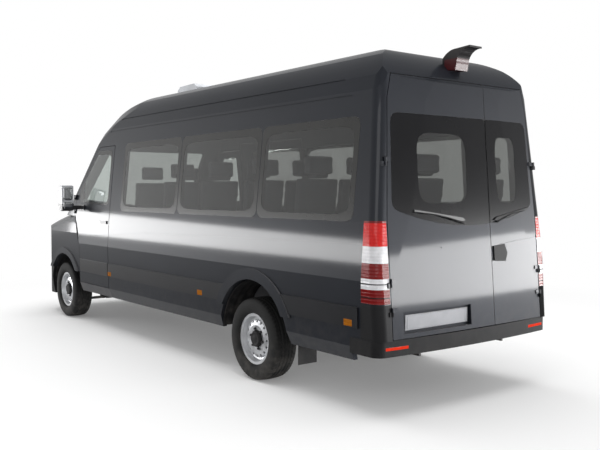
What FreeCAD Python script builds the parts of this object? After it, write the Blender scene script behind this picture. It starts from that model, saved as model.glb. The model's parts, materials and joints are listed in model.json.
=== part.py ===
import FreeCAD, Part
import Sketcher
import math
import os
import re

# Long high-roof minibus. +X is forward, +Y is to the vehicle's left and +Z is up.
# The origin lies on the ground in the middle of the footprint. All lengths are in millimetres.

doc = FreeCAD.newDocument("minibus")
sheet = doc.addObject("Spreadsheet::Sheet", "Sizes")

sizes = {
    # overall size and stance
    "overall_length": 6945,
    "body_width": 1993,
    "wheel_base": 4325,
    "front_overhang": 1004,
    "track": 1710,
    "shut_gap": 6,
    "rear_gap": 10,
    "seat_gap": 0.3,
    "wall": 50,
    "glass": 5,
    # cross-section of the body side and roof
    "sill_z": 392,
    "sill_y": 935,
    "rocker_z": 500,
    "rocker_y": 974,
    "shoulder_z": 1108,
    "shoulder_y": 988,
    "belt_z": 1402,
    "belt_y": 957,
    "cant_z": 2180,
    "cant_y": 905,
    "gutter_z": 2290,
    "gutter_y": 874,
    "haunch_z": 2485,
    "haunch_y": 812,
    "roof_edge_z": 2630,
    "roof_edge_y": 690,
    "crown_z": 2785,
    # rear face, in plan and in lean
    "rear_foot_x": 3506,
    "rear_lean": 4.45,
    "rear_bow": 24,
    "rear_face_y": 900,
    "corner_round": 80,
    # front end of the roof
    "cap_start_x": 600,
    "cap_centre_z": 190,
    # windscreen and roof cap
    "screen_foot_x": 2645,
    "screen_bow": 250,
    "screen_rake": 45,
    "screen_foot_z": 1345,
    "screen_half_low": 800,
    "screen_half_top": 700,
    "screen_top_z": 2165,
    # nose
    "cowl_x": 2640,
    "cowl_z": 1318,
    "bonnet_edge_x": 3330,
    "bonnet_edge_z": 1010,
    "nose_x": 3462.5,
    "nose_z": 640,
    "wing_rear_x": 1962,
    "bumper_top_z": 628,
    "bumper_low_z": 262,
    "nose_half": 905,
    "bonnet_half": 730,
    "bonnet_fall": 11.3,
    "crown_rise": 372,
    # wheels
    "tyre_radius": 356,
    "tyre_width": 235,
    "tyre_wall": 14,
    "rim_radius": 203.2,
    "rim_lip": 16,
    "rim_width": 180,
    "rim_skin": 8,
    "hub_face": 58,
    "hub_bore": 45,
    "rim_holes": 16,
    "rim_hole_radius": 11,
    "rim_hole_circle": 148,
    # arches
    "rear_arch": 515,
    "rear_flare": 610,
    "front_arch": 470,
    "front_flare": 545,
    "arch_depth": 330,
    # front doors
    "door_rear_x": 1100,
    "door_front_x": 1956,
    "door_low_z": 505,
    "door_belt_x": 2120,
    "door_belt_z": 1330,
    "pillar_line": 3700,
    "door_top_z": 2150,
    "door_glass_low_z": 1462,
    # side windows
    "band_front_x": 812,
    "band_rear_x": 3135,
    "band_low_z": 1400,
    "band_top_z": 2166,
    "pane_corner": 70,
    "pane_seam": 8,
    "pane_lap": 34,
    "left_seam_front_x": 504,
    "left_seam_rear_x": 1899,
    "right_seam_front_x": 215,
    "right_seam_rear_x": 1700,
    "slide_rear_x": 232,
    # rear doors
    "rear_door_low_z": 575,
    "rear_door_y": 852,
    "rear_door_belt_z": 1400,
    "rear_door_neck_y": 790,
    "rear_door_neck_z": 2290,
    "rear_door_top_y": 745,
    "rear_door_top_z": 2462,
    "rear_split_y": -240,
    "rear_glass_top_z": 2186,
    "rear_glass_low_z": 1360,
    "rear_glass_side_z": 1478,
    "rear_glass_y": 802,
    "hinge_reach": 16,
    # lamps
    "lamp_low_z": 829,
    "lamp_top_z": 1410,
    "lamp_front_x": 3254,
    "lamp_inner_y": 864,
    "lamp_depth": 24,
    # floor and underbody
    "floor_z": 660,
    "floor_thick": 36,
    "rail_half": 480,
    "rail_wide": 72,
    "rail_tall": 110,
    # moulding
    "strip_low_z": 640,
    "strip_top_z": 792,
    # seats
    "row_pitch": 760,
    "first_row_x": 60,
    "rows": 5,
    "seat_wide": 440,
    "seat_deep": 430,
    "cushion_thick": 110,
    "cushion_top_z": 1110,
    "back_tall": 640,
    "back_thick": 95,
    "head_tall": 170,
    "head_wide": 270,
    "aisle_left_y": -32,
    "front_seat_x": 1190,
    "driver_y": 430,
    # hinges
    "knuckle_radius": 8,
    "knuckle_tall": 30,
    "door_hinge_y": 970,
    "door_hinge_low_z": 1350,
    "door_hinge_top_z": 1520,
    "rear_hinge_y": 855,
    "bonnet_pin_radius": 5,
    "bonnet_hinge_x": 2622,
    "bonnet_hinge_z": 1300,
    # rear bumper
    "bumper_side_x": 3130,
    "rear_bumper_top_z": 568,
    "rear_bumper_low_z": 452,
    "bumper_skin": 55,
    # running gear
    "stub_radius": 30,
    "bearing_gap": 0.05,
    "hub_radius": 74,
    "steer_y": 772,
    "front_depth": 460,
    "house_skin": 12,
    "axle_radius": 50,
    "drive_z": 400,
    "spring_wide": 65,
    "spring_thick": 30,
    "spring_y": 580,
    # steering wheel
    "steer_wheel_x": 1600,
    "steer_wheel_z": 1330,
    "steer_wheel_radius": 190,
    "steer_grip_radius": 14,
    "column_tilt": 40,
    # small fittings
    "fitting_thick": 12,
    "mirror_out_y": 1213,
    "tow_hole_radius": 18,
}
for row, (name, number) in enumerate(sizes.items(), 1):
    sheet.set("A%d" % row, name)
    sheet.set("B%d" % row, str(number))
    sheet.setAlias("B%d" % row, name)
doc.recompute()

FUNCTIONS = {"sqrt", "sin", "cos", "tan", "atan", "pi", "max", "min", "deg"}


def bound(text):
    """Turn names of sizes in a formula into references to the sheet."""
    text = str(text)
    return re.sub(r"[A-Za-z_][A-Za-z_0-9]*", lambda m: m.group() if m.group() in FUNCTIONS
                  else "Sizes." + m.group(), text)


def value(text):
    """The number that a formula has now."""
    found = sheet.evalExpression(bound(text))
    return float(getattr(found, "Value", found))


def tie(thing, path, text):
    """Bind one property of an object to a formula in the sheet's sizes."""
    thing.setExpression(path, bound(text))


def move(thing, x="0", y="0", z="0"):
    """Bind an object's place to three formulas."""
    for axis, text in zip("xyz", (x, y, z)):
        tie(thing, "Placement.Base." + axis, text)
    return thing


TURNS = {
    "XY": FreeCAD.Rotation(),
    "XZ": FreeCAD.Rotation(FreeCAD.Vector(1, 0, 0), 90),
    "YZ": FreeCAD.Rotation(FreeCAD.Vector(0, 1, 0), FreeCAD.Vector(0, 0, 1), FreeCAD.Vector(1, 0, 0), "XYZ"),
}
AXES = {"XY": (0, 0, 1), "XZ": (0, 1, 0), "YZ": (1, 0, 0)}


def draw(sketch, points):
    """Draw a closed outline of lines and arcs and pin every point of it to its formulas.

    A point is a pair of formulas, and a triple is a point that the edge to the next corner passes.
    """
    corners = [i for i, p in enumerate(points) if len(p) == 2]
    spot = [FreeCAD.Vector(value(p[0]), value(p[1]), 0) for p in points]
    edges = []
    for k, i in enumerate(corners):
        a, b = spot[i], spot[corners[(k + 1) % len(corners)]]
        if i + 1 < len(points) and len(points[i + 1]) == 3:
            left_turn = (spot[i + 1] - a).cross(b - spot[i + 1]).z > 0
            edges.append(Part.Arc(a, spot[i + 1], b) if left_turn else Part.Arc(b, spot[i + 1], a))
        else:
            edges.append(Part.LineSegment(a, b))
    sketch.addGeometry(edges, False)
    ends = []
    for k, i in enumerate(corners):
        first = (sketch.Geometry[k].StartPoint - spot[i]).Length < (sketch.Geometry[k].EndPoint - spot[i]).Length
        ends.append((1, 2) if first else (2, 1))
    rules = []
    formulas = []
    for k, i in enumerate(corners):
        for kind, text in zip(("DistanceX", "DistanceY"), points[i]):
            formulas.append((len(rules), text))
            rules.append(Sketcher.Constraint(kind, -1, 1, k, ends[k][0], value(text)))
    for k in range(len(corners)):
        n = (k + 1) % len(corners)
        rules.append(Sketcher.Constraint("Coincident", k, ends[k][1], n, ends[n][0]))
    for k, i in enumerate(corners):
        if i + 1 < len(points) and len(points[i + 1]) == 3:
            mark = sketch.addGeometry(Part.Point(spot[i + 1]), True)
            for kind, text in zip(("DistanceX", "DistanceY"), points[i + 1]):
                formulas.append((len(rules), text))
                rules.append(Sketcher.Constraint(kind, -1, 1, mark, 1, value(text)))
            rules.append(Sketcher.Constraint("PointOnObject", mark, 1, k))
    sketch.addConstraint(rules)
    for number, text in formulas:
        sketch.setExpression("Constraints[%d]" % number, bound(text))
    return sketch


def outline(name, plane, points, at="0"):
    """A free-standing outline on a plane at a given distance from the origin."""
    sketch = doc.addObject("Sketcher::SketchObject", name)
    sketch.Placement = FreeCAD.Placement(FreeCAD.Vector(), TURNS[plane])
    draw(sketch, points)
    tie(sketch, "Placement.Base." + {"XY": "z", "XZ": "y", "YZ": "x"}[plane], at)
    return sketch


def swept(name, base, plane, length):
    """An outline carried straight along the axis that its plane faces."""
    solid = doc.addObject("Part::Extrusion", name)
    solid.Base = base
    solid.DirMode = "Custom"
    solid.Dir = FreeCAD.Vector(*AXES[plane])
    solid.Solid = True
    tie(solid, "LengthFwd", length)
    return solid


def prism(name, plane, points, start, stop):
    """A prism of an outline between two distances along the plane's normal."""
    return swept(name, outline(name + "_outline", plane, points, start), plane, "(%s) - (%s)" % (stop, start))


def leaning(name, plane, points, degrees, back, ahead):
    """A prism whose outline lies on a plane tipped about the cross axis through the origin."""
    sketch = doc.addObject("Sketcher::SketchObject", name + "_outline")
    tip = FreeCAD.Rotation(FreeCAD.Vector(0, 1, 0), value(degrees))
    sketch.Placement = FreeCAD.Placement(FreeCAD.Vector(), tip.multiply(TURNS[plane]))
    draw(sketch, points)
    solid = doc.addObject("Part::Extrusion", name)
    solid.Base = sketch
    solid.DirMode = "Normal"
    solid.Solid = True
    tie(solid, "LengthFwd", ahead)
    tie(solid, "LengthRev", back)
    return solid


def grown(name, base, amount):
    """An outline grown or shrunk by an amount, with round corners."""
    ring = doc.addObject("Part::Offset2D", name)
    ring.Source = base
    ring.Join = 0
    tie(ring, "Value", amount)
    return ring


def block(name, x0, x1, y0, y1, z0, z1):
    """A box between two formulas on each axis."""
    solid = doc.addObject("Part::Box", name)
    tie(solid, "Length", "(%s) - (%s)" % (x1, x0))
    tie(solid, "Width", "(%s) - (%s)" % (y1, y0))
    tie(solid, "Height", "(%s) - (%s)" % (z1, z0))
    return move(solid, x0, y0, z0)


def rod(name, radius, x, y, z, length, along="Y"):
    """A round bar from a point, along one axis."""
    solid = doc.addObject("Part::Cylinder", name)
    turn = {"X": FreeCAD.Rotation(FreeCAD.Vector(0, 1, 0), 90),
            "Y": FreeCAD.Rotation(FreeCAD.Vector(1, 0, 0), -90),
            "Z": FreeCAD.Rotation()}[along]
    solid.Placement = FreeCAD.Placement(FreeCAD.Vector(), turn)
    tie(solid, "Radius", radius)
    tie(solid, "Height", length)
    return move(solid, x, y, z)


def common(name, first, *others):
    """What two or more pieces share."""
    for number, other in enumerate(others, 1):
        last = number == len(others)
        both = doc.addObject("Part::Common", name if last else "%s_step_%d" % (name, number))
        both.Base = first
        both.Tool = other
        both.Refine = last
        first = both
    return first


def fuse(name, *parts):
    whole = doc.addObject("Part::MultiFuse", name)
    whole.Shapes = list(parts)
    whole.Refine = True
    return whole


def group(name, *parts):
    """Like pieces that stay apart, kept as one compound."""
    whole = doc.addObject("Part::Compound", name)
    whole.Links = list(parts)
    return whole


def less(name, base, *tools):
    """A piece with one or more tools taken out of it."""
    tool = tools[0] if len(tools) == 1 else fuse(name + "_tools", *tools)
    rest = doc.addObject("Part::Cut", name)
    rest.Base = base
    rest.Tool = tool
    rest.Refine = True
    return rest


def mirror(name, source):
    """The same piece on the other side of the vehicle."""
    copy = doc.addObject("Part::Mirroring", name)
    copy.Source = source
    copy.Normal = FreeCAD.Vector(0, 1, 0)
    return copy


nodes = []


def node(name, thing):
    """Name a finished piece and list it for writing."""
    thing.Label = name
    nodes.append(thing)
    return thing


half = "body_width / 2"
front_axle = "(overall_length / 2 - front_overhang)"
rear_axle = "(overall_length / 2 - front_overhang - wheel_base)"
wheel_y = "track / 2"


# The outer form of the body: a cross-section, a roof line, a leaning rear face and a bowed screen
def section(inset, foot):
    """Half the cross-section on the left, the roof, and the same again on the right."""
    side = [("sill_y - %s" % inset, foot), ("rocker_y - %s" % inset, "rocker_z"),
            ("shoulder_y - %s" % inset, "shoulder_z"), ("belt_y - %s" % inset, "belt_z"),
            ("cant_y - %s" % inset, "cant_z"), ("gutter_y - %s" % inset, "gutter_z")]
    points = list(side)
    points.append(("haunch_y - %s * 0.93" % inset, "haunch_z - %s * 0.36" % inset, "bend"))
    points.append(("roof_edge_y - %s * 0.36" % inset, "roof_edge_z - %s * 0.93" % inset))
    points.append(("0", "crown_z - %s" % inset, "bend"))
    points.append(("-(roof_edge_y - %s * 0.36)" % inset, "roof_edge_z - %s * 0.93" % inset))
    points.append(("-(haunch_y - %s * 0.93)" % inset, "haunch_z - %s * 0.36" % inset, "bend"))
    points += [("-(%s)" % y, z) for y, z in reversed(side)]
    return points


def corner(name, inset, y, z, rate, sign):
    """A block whose one upright edge is rounded and leans with the rear face and one band of the side."""
    lean = math.radians(value("rear_lean"))
    tip = math.degrees(math.atan(value(rate)))
    bulge = value("rear_bow * ((%s - %s - corner_round) / rear_face_y) ^ 2" % (y, inset))
    back = (value("%s - rear_foot_x" % inset) + bulge + value(z) * math.sin(lean)) / math.cos(lean)
    turn = FreeCAD.Rotation(FreeCAD.Vector(1, 0, 0), sign * tip).multiply(
        FreeCAD.Rotation(FreeCAD.Vector(0, 1, 0), value("rear_lean")))
    sketch = doc.addObject("Sketcher::SketchObject", name + "_outline")
    sketch.Placement = FreeCAD.Placement(FreeCAD.Vector(back, sign * value("%s - %s" % (y, inset)), value(z)),
                                         turn)
    bend = "(corner_round - %s)" % inset
    draw(sketch, [("0", "-%d * %s" % (sign, bend)), ("0.2929 * " + bend, "-0.2929 * %d * %s" % (sign, bend),
                                                     "bend"),
                  (bend, "0"), ("7500", "0"), ("7500", "-2400 * %d" % sign), ("-150", "-2400 * %d" % sign)])
    solid = doc.addObject("Part::Extrusion", name)
    solid.Base = sketch
    solid.DirMode = "Normal"
    solid.Solid = True
    solid.LengthFwd = 2600
    solid.LengthRev = 2600
    return solid


def cap(name, inset):
    """The roof's bound: an arched section that runs straight, then turns down round a cross axis in front."""
    arch = outline(name + "_arch", "YZ", [
        ("1150", "cap_centre_z + 20"), ("1150", "2320 - %s" % inset),
                                          ("905 - 0.7 * %s" % inset, "2360 - 0.7 * %s" % inset),
        ("haunch_y + 23 - 0.93 * %s" % inset, "haunch_z - 0.36 * %s" % inset),
        ("roof_edge_y + 10 - 0.36 * %s" % inset, "roof_edge_z + 4 - 0.93 * %s" % inset),
        ("0", "crown_z + 30 - %s" % inset, "bend"),
        ("-(roof_edge_y + 10 - 0.36 * %s)" % inset, "roof_edge_z + 4 - 0.93 * %s" % inset),
        ("-(haunch_y + 23 - 0.93 * %s)" % inset, "haunch_z - 0.36 * %s" % inset),
        ("-(905 - 0.7 * %s)" % inset, "2360 - 0.7 * %s" % inset), ("-1150", "2320 - %s" % inset),
        ("-1150", "cap_centre_z + 20")], "cap_start_x")
    turned_down = doc.addObject("Part::Revolution", name + "_cap_front")
    turned_down.Source = arch
    turned_down.Axis = FreeCAD.Vector(0, 1, 0)
    turned_down.Base = FreeCAD.Vector(value("cap_start_x"), 0, value("cap_centre_z"))
    turned_down.Angle = 88
    turned_down.Solid = True
    straight = doc.addObject("Part::Extrusion", name + "_cap_rear")
    straight.Base = arch
    straight.DirMode = "Custom"
    straight.Dir = FreeCAD.Vector(-1, 0, 0)
    straight.Solid = True
    tie(straight, "LengthFwd", "3700 + cap_start_x")
    nose_room = block(name + "_cap_low", "cap_start_x", "3900", "-1150", "1150", "150", "1330 - %s" % inset)
    low_room = block(name + "_cap_under", "-3700", "cap_start_x + 10", "-1150", "1150", "150",
                     "cap_centre_z + 40")
    return fuse(name + "_cap", turned_down, straight, nose_room, low_room)


def envelope(name, inset, foot):
    """The closed outer form, or the same form moved inwards by an inset."""
    tube = prism(name + "_section", "YZ", section(inset, foot), "-3700", "3700")
    rear = leaning(name + "_rear", "XY", [
        ("3900", "-1200"), ("3900", "1200"), ("rear_bow * 1.78 - rear_foot_x + %s" % inset, "1200"),
        ("%s - rear_foot_x" % inset, "0", "bend"), ("rear_bow * 1.78 - rear_foot_x + %s" % inset, "-1200")],
        "rear_lean", "900", "3400")
    line = prism(name + "_line", "XZ", [
        ("-3800", "200"), ("3800", "200"), ("3800", "1700 - %s" % inset),
        ("1640", "2480 - %s" % inset), ("1130", "2660 - %s" % inset),
        ("720", "2765 - %s" % inset, "bend"), ("150", "crown_z - %s + 5" % inset),
        ("-1900", "crown_z - %s + 5" % inset),
        ("-2500", "crown_z - 14 - %s" % inset, "bend"), ("-3000", "crown_z - 84 - %s" % inset),
        ("-3185 + %s * 0.7" % inset, "2606 - %s * 0.7" % inset, "bend"),
        ("-3310 + %s" % inset, "2440 - %s" % inset), ("-3800", "2300 - %s" % inset)], "-1100", "1100")
    reach = "(screen_foot_x * cos(screen_rake * 1 deg) + screen_foot_z * sin(screen_rake * 1 deg) - %s)" % inset
    bow = leaning(name + "_screen", "XY", [
        ("-4900", "-1100"), (reach + " - screen_bow", "-1100"), (reach, "0", "bend"),
        (reach + " - screen_bow", "1100"), ("-4900", "1100")], "-screen_rake", "3900", "5200")
    corners = [corner("%s_corner_%d_%s" % (name, k, side), inset, y, z, rate, sign)
               for k, (y, z, rate) in enumerate((
                   ("shoulder_y", "shoulder_z", "(rocker_y - shoulder_y) / (shoulder_z - rocker_z)"),
                   ("shoulder_y", "shoulder_z", "(shoulder_y - belt_y) / (belt_z - shoulder_z)"),
                   ("cant_y", "cant_z", "(belt_y - cant_y) / (cant_z - belt_z)"),
                   ("gutter_y", "gutter_z", "(cant_y - gutter_y) / (gutter_z - cant_z)")))
               for side, sign in (("left", 1), ("right", -1))]
    return common(name, tube, rear, line, bow, cap(name, inset), *corners)


outer = envelope("outer", "0", "sill_z")
bed = envelope("bed", "(glass + seat_gap)", "sill_z - 60")
inner = envelope("inner", "wall", "sill_z - 60")
shell = less("shell", outer, inner)
skin = less("skin", outer, envelope("under_glass", "glass", "sill_z - 60"))
rebate = less("rebate", outer, bed)


# Side walls, with arches, crease line, windows and the rear opening
wall_zone = block("wall_zone", "-3600", "door_rear_x - rear_gap", "300", "1100", "300", "gutter_z")
wall_raw = common("wall_raw", shell, wall_zone)
rear_flare = common("rear_flare", rod("rear_flare_disc", "rear_flare", rear_axle, "rocker_y - wall",
                                      "tyre_radius",
                                      half + " - (rocker_y - wall)"),
                    block("rear_flare_zone", "-3600", "0", "800", "1100", "strip_low_z - 30", "1400"))
rear_well = rod("rear_well", "rear_arch", rear_axle, half + " - arch_depth", "tyre_radius", "arch_depth + 40")
crease = common("crease", skin, prism("crease_run", "XZ", [
    ("1990", "1048"), ("1990", "1060"), ("75", "1192"), ("-2681", "1252"), ("-3250", "1258"),
    ("-3250", "1244"), ("-2681", "1240"), ("75", "1180")], "500", "1100"))


def door_shape(grow):
    """The rear door opening on both sides, grown or shrunk by an amount."""
    return [("rear_door_y + %s" % grow, "rear_door_low_z - %s" % grow),
            ("rear_door_y + %s" % grow, "rear_door_belt_z"),
            ("rear_door_neck_y + %s" % grow, "rear_door_neck_z"),
            ("rear_door_top_y + %s" % grow, "rear_door_top_z + %s" % grow),
            ("-(rear_door_top_y + %s)" % grow, "rear_door_top_z + %s" % grow),
            ("-(rear_door_neck_y + %s)" % grow, "rear_door_neck_z"),
            ("-(rear_door_y + %s)" % grow, "rear_door_belt_z"),
            ("-(rear_door_y + %s)" % grow, "rear_door_low_z - %s" % grow)]


rear_open = fuse("rear_open", prism("rear_open_high", "YZ", door_shape("shut_gap"), "-3700", "-3180"),
                 block("rear_open_low", "-3700", "-3180", "-rear_door_y - shut_gap", "rear_door_y + shut_gap",
                       "200", "rear_door_low_z"))
lamp_zone = less("lamp_zone", block("lamp_zone_all", "-3600", "-lamp_front_x", "lamp_inner_y", "1100",
                                    "lamp_low_z", "lamp_top_z"), inner)
lamp_shell = less("lamp_shell", outer, envelope("lamp_back", "lamp_depth", "sill_z - 60"))
tail_left = common("tail_left", lamp_shell, lamp_zone)
lamp_pocket = common("lamp_pocket", outer, block(
    "lamp_pocket_zone", "-3600", "-lamp_front_x + seat_gap", "lamp_inner_y - seat_gap", "1100",
    "lamp_low_z - seat_gap", "lamp_top_z + seat_gap"))
lamp_cut = less("lamp_cut", lamp_pocket, envelope("lamp_seat", "(lamp_depth + seat_gap)", "sill_z - 60"))

bumper_notch = block("bumper_notch", "-3600", "-bumper_side_x + seat_gap", "300", "1100", "200",
                     "rear_bumper_top_z + seat_gap")
wall_plain = less("wall_plain", fuse("wall_flared", wall_raw, rear_flare), rear_well, crease, rear_open,
                  lamp_cut,
                  bumper_notch)


def window(name, plane, points, start, stop):
    """The pane, its rebate and the opening behind it, all from one outline."""
    base = outline(name + "_outline", plane, points, start)
    run = "(%s) - (%s)" % (stop, start)
    pane = common(name + "_pane", skin, swept(name + "_glass", grown(name + "_edge", base, "pane_corner"),
                                              plane, run))
    seat = common(name + "_seat", rebate,
                  swept(name + "_bed", grown(name + "_rim", base, "pane_corner + seat_gap"), plane, run))
    hole = swept(name + "_hole", grown(name + "_sight", base, "pane_corner - pane_lap"), plane, run)
    return pane, fuse(name + "_cut", seat, hole)


def band(name, front, rear, start, stop):
    """One pane of the side band between two distances from the middle of the vehicle."""
    return window(name, "XZ", [
        ("%s - pane_corner" % front, "band_low_z + pane_corner"),
                               ("%s - pane_corner" % front, "band_top_z - pane_corner"),
        ("%s + pane_corner" % rear, "band_top_z - pane_corner"),
                               ("%s + pane_corner" % rear, "band_low_z + pane_corner")],
        start, stop)


sides = {}
for side, start, stop in (("left", "700", "1100"), ("right", "-1100", "-700")):
    seam_a = "%s_seam_front_x" % side
    seam_b = "%s_seam_rear_x" % side
    first = band(side + "_one", "band_front_x", "(-%s + pane_seam / 2)" % seam_a, start, stop)
    second = band(side + "_two", "(-%s - pane_seam / 2)" % seam_a, "(-%s + pane_seam / 2)" % seam_b, start,
                  stop)
    third = band(side + "_three", "(-%s - pane_seam / 2)" % seam_b, "-band_rear_x", start, stop)
    sides[side] = (first, second, third)
    node("side_glass_" + side, group("side_glass_" + side, first[0], second[0], third[0]))

panel_left = less("panel_left", wall_plain, *[pane[1] for pane in sides["left"]])
wall_right = less("wall_right", mirror("wall_mirrored", wall_plain), *[pane[1] for pane in sides["right"]])
slide_zone = block("slide_zone", "-slide_rear_x", "door_rear_x - rear_gap - 46", "-1100", "-300",
                   "door_low_z", "gutter_z - 60")
slide_open = block("slide_open", "-slide_rear_x - shut_gap", "door_rear_x - rear_gap - 46 + shut_gap",
                   "-1100", "-300",
                   "door_low_z - shut_gap", "gutter_z - 60 + shut_gap")
node("sliding_door", common("sliding_door", wall_right, slide_zone))
slide_rail = common("slide_rail", less("slide_rail_layer", envelope("rail_out", "(0 - 8)", "sill_z"), inner),
                    block(
    "slide_rail_zone", "-1830", "-slide_rear_x - 30", "-1100", "-900", "belt_z - 58", "belt_z - 30"))
panel_right = fuse("panel_right", less("panel_right_open", wall_right, slide_open), slide_rail)

# Roof, down to the gutter line, with its two long ribs on each side
roof_zone = block("roof_zone", "-3600", "3000", "-1100", "1100", "gutter_z", "3000")
rib_low = block("rib_low", "-3020", "1250", "700", "900", "gutter_z + 26", "gutter_z + 38")
rib_high = block("rib_high", "-2900", "1000", "600", "900", "haunch_z - 40", "haunch_z - 28")
ribs = common("ribs", skin, fuse("ribs_both", rib_low, rib_high, mirror("rib_low_right", rib_low),
                                 mirror("rib_high_right", rib_high)))
node("roof_panel", less("roof_panel", common("roof_raw", shell, roof_zone), rear_open, ribs))

# Screen frame: front pillars, header and the rails over the doors
frame_zone = block("frame_zone", "door_rear_x - rear_gap", "3000", "-1100", "1100", "cowl_z + 2", "gutter_z")


def door_outline(grow):
    """The front door seen from the side, grown by the shut gap for its opening."""
    rear = "door_rear_x - %s * rear_gap / shut_gap" % grow
    return [(rear, "door_low_z - %s" % grow), ("door_front_x + %s" % grow, "door_low_z - %s" % grow),
            ("door_front_x + %s" % grow, "960"), ("door_belt_x + %s" % grow, "door_belt_z"),
            ("door_belt_x + %s" % grow, "pillar_line - door_belt_x + %s * 0.41" % grow),
            ("pillar_line - door_top_z + 30 + %s * 0.41" % grow, "door_top_z - 30 + %s" % grow),
            ("pillar_line - door_top_z - 60", "door_top_z + %s" % grow),
            (rear, "door_top_z + %s" % grow)]


door_body = prism("door_body", "XZ", door_outline("0"), "500", "1100")
door_hole = prism("door_hole", "XZ", door_outline("shut_gap"), "500", "1100")
door_pane, door_cut = window("door_window", "XZ", [
    ("door_rear_x + 42 + pane_corner", "door_glass_low_z + pane_corner"),
    ("door_rear_x + 42 + pane_corner", "door_top_z - 46 - pane_corner"),
    ("pillar_line - 52 - pane_corner * 0.41 - door_top_z + 46", "door_top_z - 46 - pane_corner"),
    ("door_belt_x - 110 - pane_corner", "pillar_line - 52 - pane_corner * 0.41 - door_belt_x + 110"),
    ("door_belt_x - 110 - pane_corner", "door_glass_low_z + 30 + pane_corner")], "600", "1100")
screen_pane, screen_cut = window("screen", "YZ", [
    ("screen_half_low - pane_corner", "screen_foot_z + 46 + pane_corner"),
    ("screen_half_top - pane_corner", "screen_top_z - pane_corner"),
    ("-(screen_half_top - pane_corner)", "screen_top_z - pane_corner"),
    ("-(screen_half_low - pane_corner)", "screen_foot_z + 46 + pane_corner")], "1350", "2900")
node("windscreen", screen_pane)
door_hole_right = mirror("door_hole_right", door_hole)
frame_plain = less("frame_plain", common("frame_raw", shell, frame_zone), door_hole, door_hole_right,
                   screen_cut)

# Sills under the front doors
sill_left = less("sill_left", common("sill_raw", shell, block(
    "sill_zone", "door_rear_x - rear_gap", "wing_rear_x", "500", "1100", "300", "door_low_z - shut_gap")),
    rod("sill_arch", "front_arch", front_axle, half + " - front_depth", "tyre_radius", "front_depth + 40"))

# Front doors


def hinge(name, x, y, z, tilt, lower, upper):
    """A stacked pair of knuckles on one axis, the straps that hold them and the room that each needs.

    The lower knuckle belongs to the body and the upper one to the door. Each strap is a box between
    four distances in plan, from the axis to the panel that carries it.
    """
    found = []
    for half_name, low, strap in (("low", z, lower), ("top", "%s + knuckle_tall + seat_gap" % z, upper)):
        top = "%s + knuckle_tall" % low
        label = "%s_%s" % (name, half_name)
        knuckle = rod(label, "knuckle_radius", x, y, low, "knuckle_tall", "Z")
        arm = block(label + "_strap", strap[0], strap[1], strap[2], strap[3], low, top)
        room = rod(label + "_room", "knuckle_radius + 5", x, y, low + " - 5", "knuckle_tall + 10", "Z")
        arm_room = block(label + "_strap_room", "%s - 5" % strap[0], "%s + 5" % strap[1], "%s - 5" % strap[2],
                         "%s + 5" % strap[3], low + " - 5", top + " + 5")
        for thing in (knuckle, arm, room, arm_room):
            lean_over(thing, tilt)
        found.append((fuse(label + "_knuckle", knuckle, arm), fuse(label + "_clear", room, arm_room)))
    return found[0][0], found[1][0], found[0][1], found[1][1]


def lean_over(thing, tilt):
    """Tip a box or rod, given upright, about the cross axis through the origin."""
    if tilt == "0":
        return
    turn = FreeCAD.Rotation(FreeCAD.Vector(0, 1, 0), value(tilt))
    doc.recompute()
    spot = thing.Placement.Base
    for axis in "xyz":
        thing.setExpression("Placement.Base." + axis, None)
    thing.Placement = FreeCAD.Placement(turn.multVec(spot), turn.multiply(thing.Placement.Rotation))


hinge_x = "(door_belt_x + shut_gap / 2)"
door_hinges = [hinge("door_hinge_%d" % k, hinge_x, "door_hinge_y", height, "0",
                     (hinge_x, hinge_x + " + 26", "door_hinge_y - 40 - %d" % (10 * k), "door_hinge_y"),
                     (hinge_x + " - 26", hinge_x, "door_hinge_y - 40 - %d" % (10 * k), "door_hinge_y"))
               for k, height in enumerate(("door_hinge_low_z", "door_hinge_top_z"))]
frame_hinges = fuse("frame_hinges", *[pair[0] for pair in door_hinges])
frame_rooms = fuse("frame_rooms", *[pair[3] for pair in door_hinges])
door_knuckles = fuse("door_knuckles", *[pair[1] for pair in door_hinges])
door_rooms = fuse("door_rooms", *[pair[2] for pair in door_hinges])
frame_cleared = less("frame_cleared", frame_plain, frame_rooms, mirror("frame_rooms_right", frame_rooms))
node("screen_frame", fuse("screen_frame", frame_cleared, frame_hinges,
                          mirror("frame_hinges_right", frame_hinges)))
door_left = fuse("door_left", less("door_left_bare", common("door_left_raw", shell, door_body), door_cut,
                                   crease,
                                   door_rooms), door_knuckles)
node("front_door_left", door_left)
node("front_door_right", mirror("front_door_right", door_left))
node("front_door_glass_left", door_pane)
node("front_door_glass_right", mirror("front_door_glass_right", door_pane))


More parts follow.
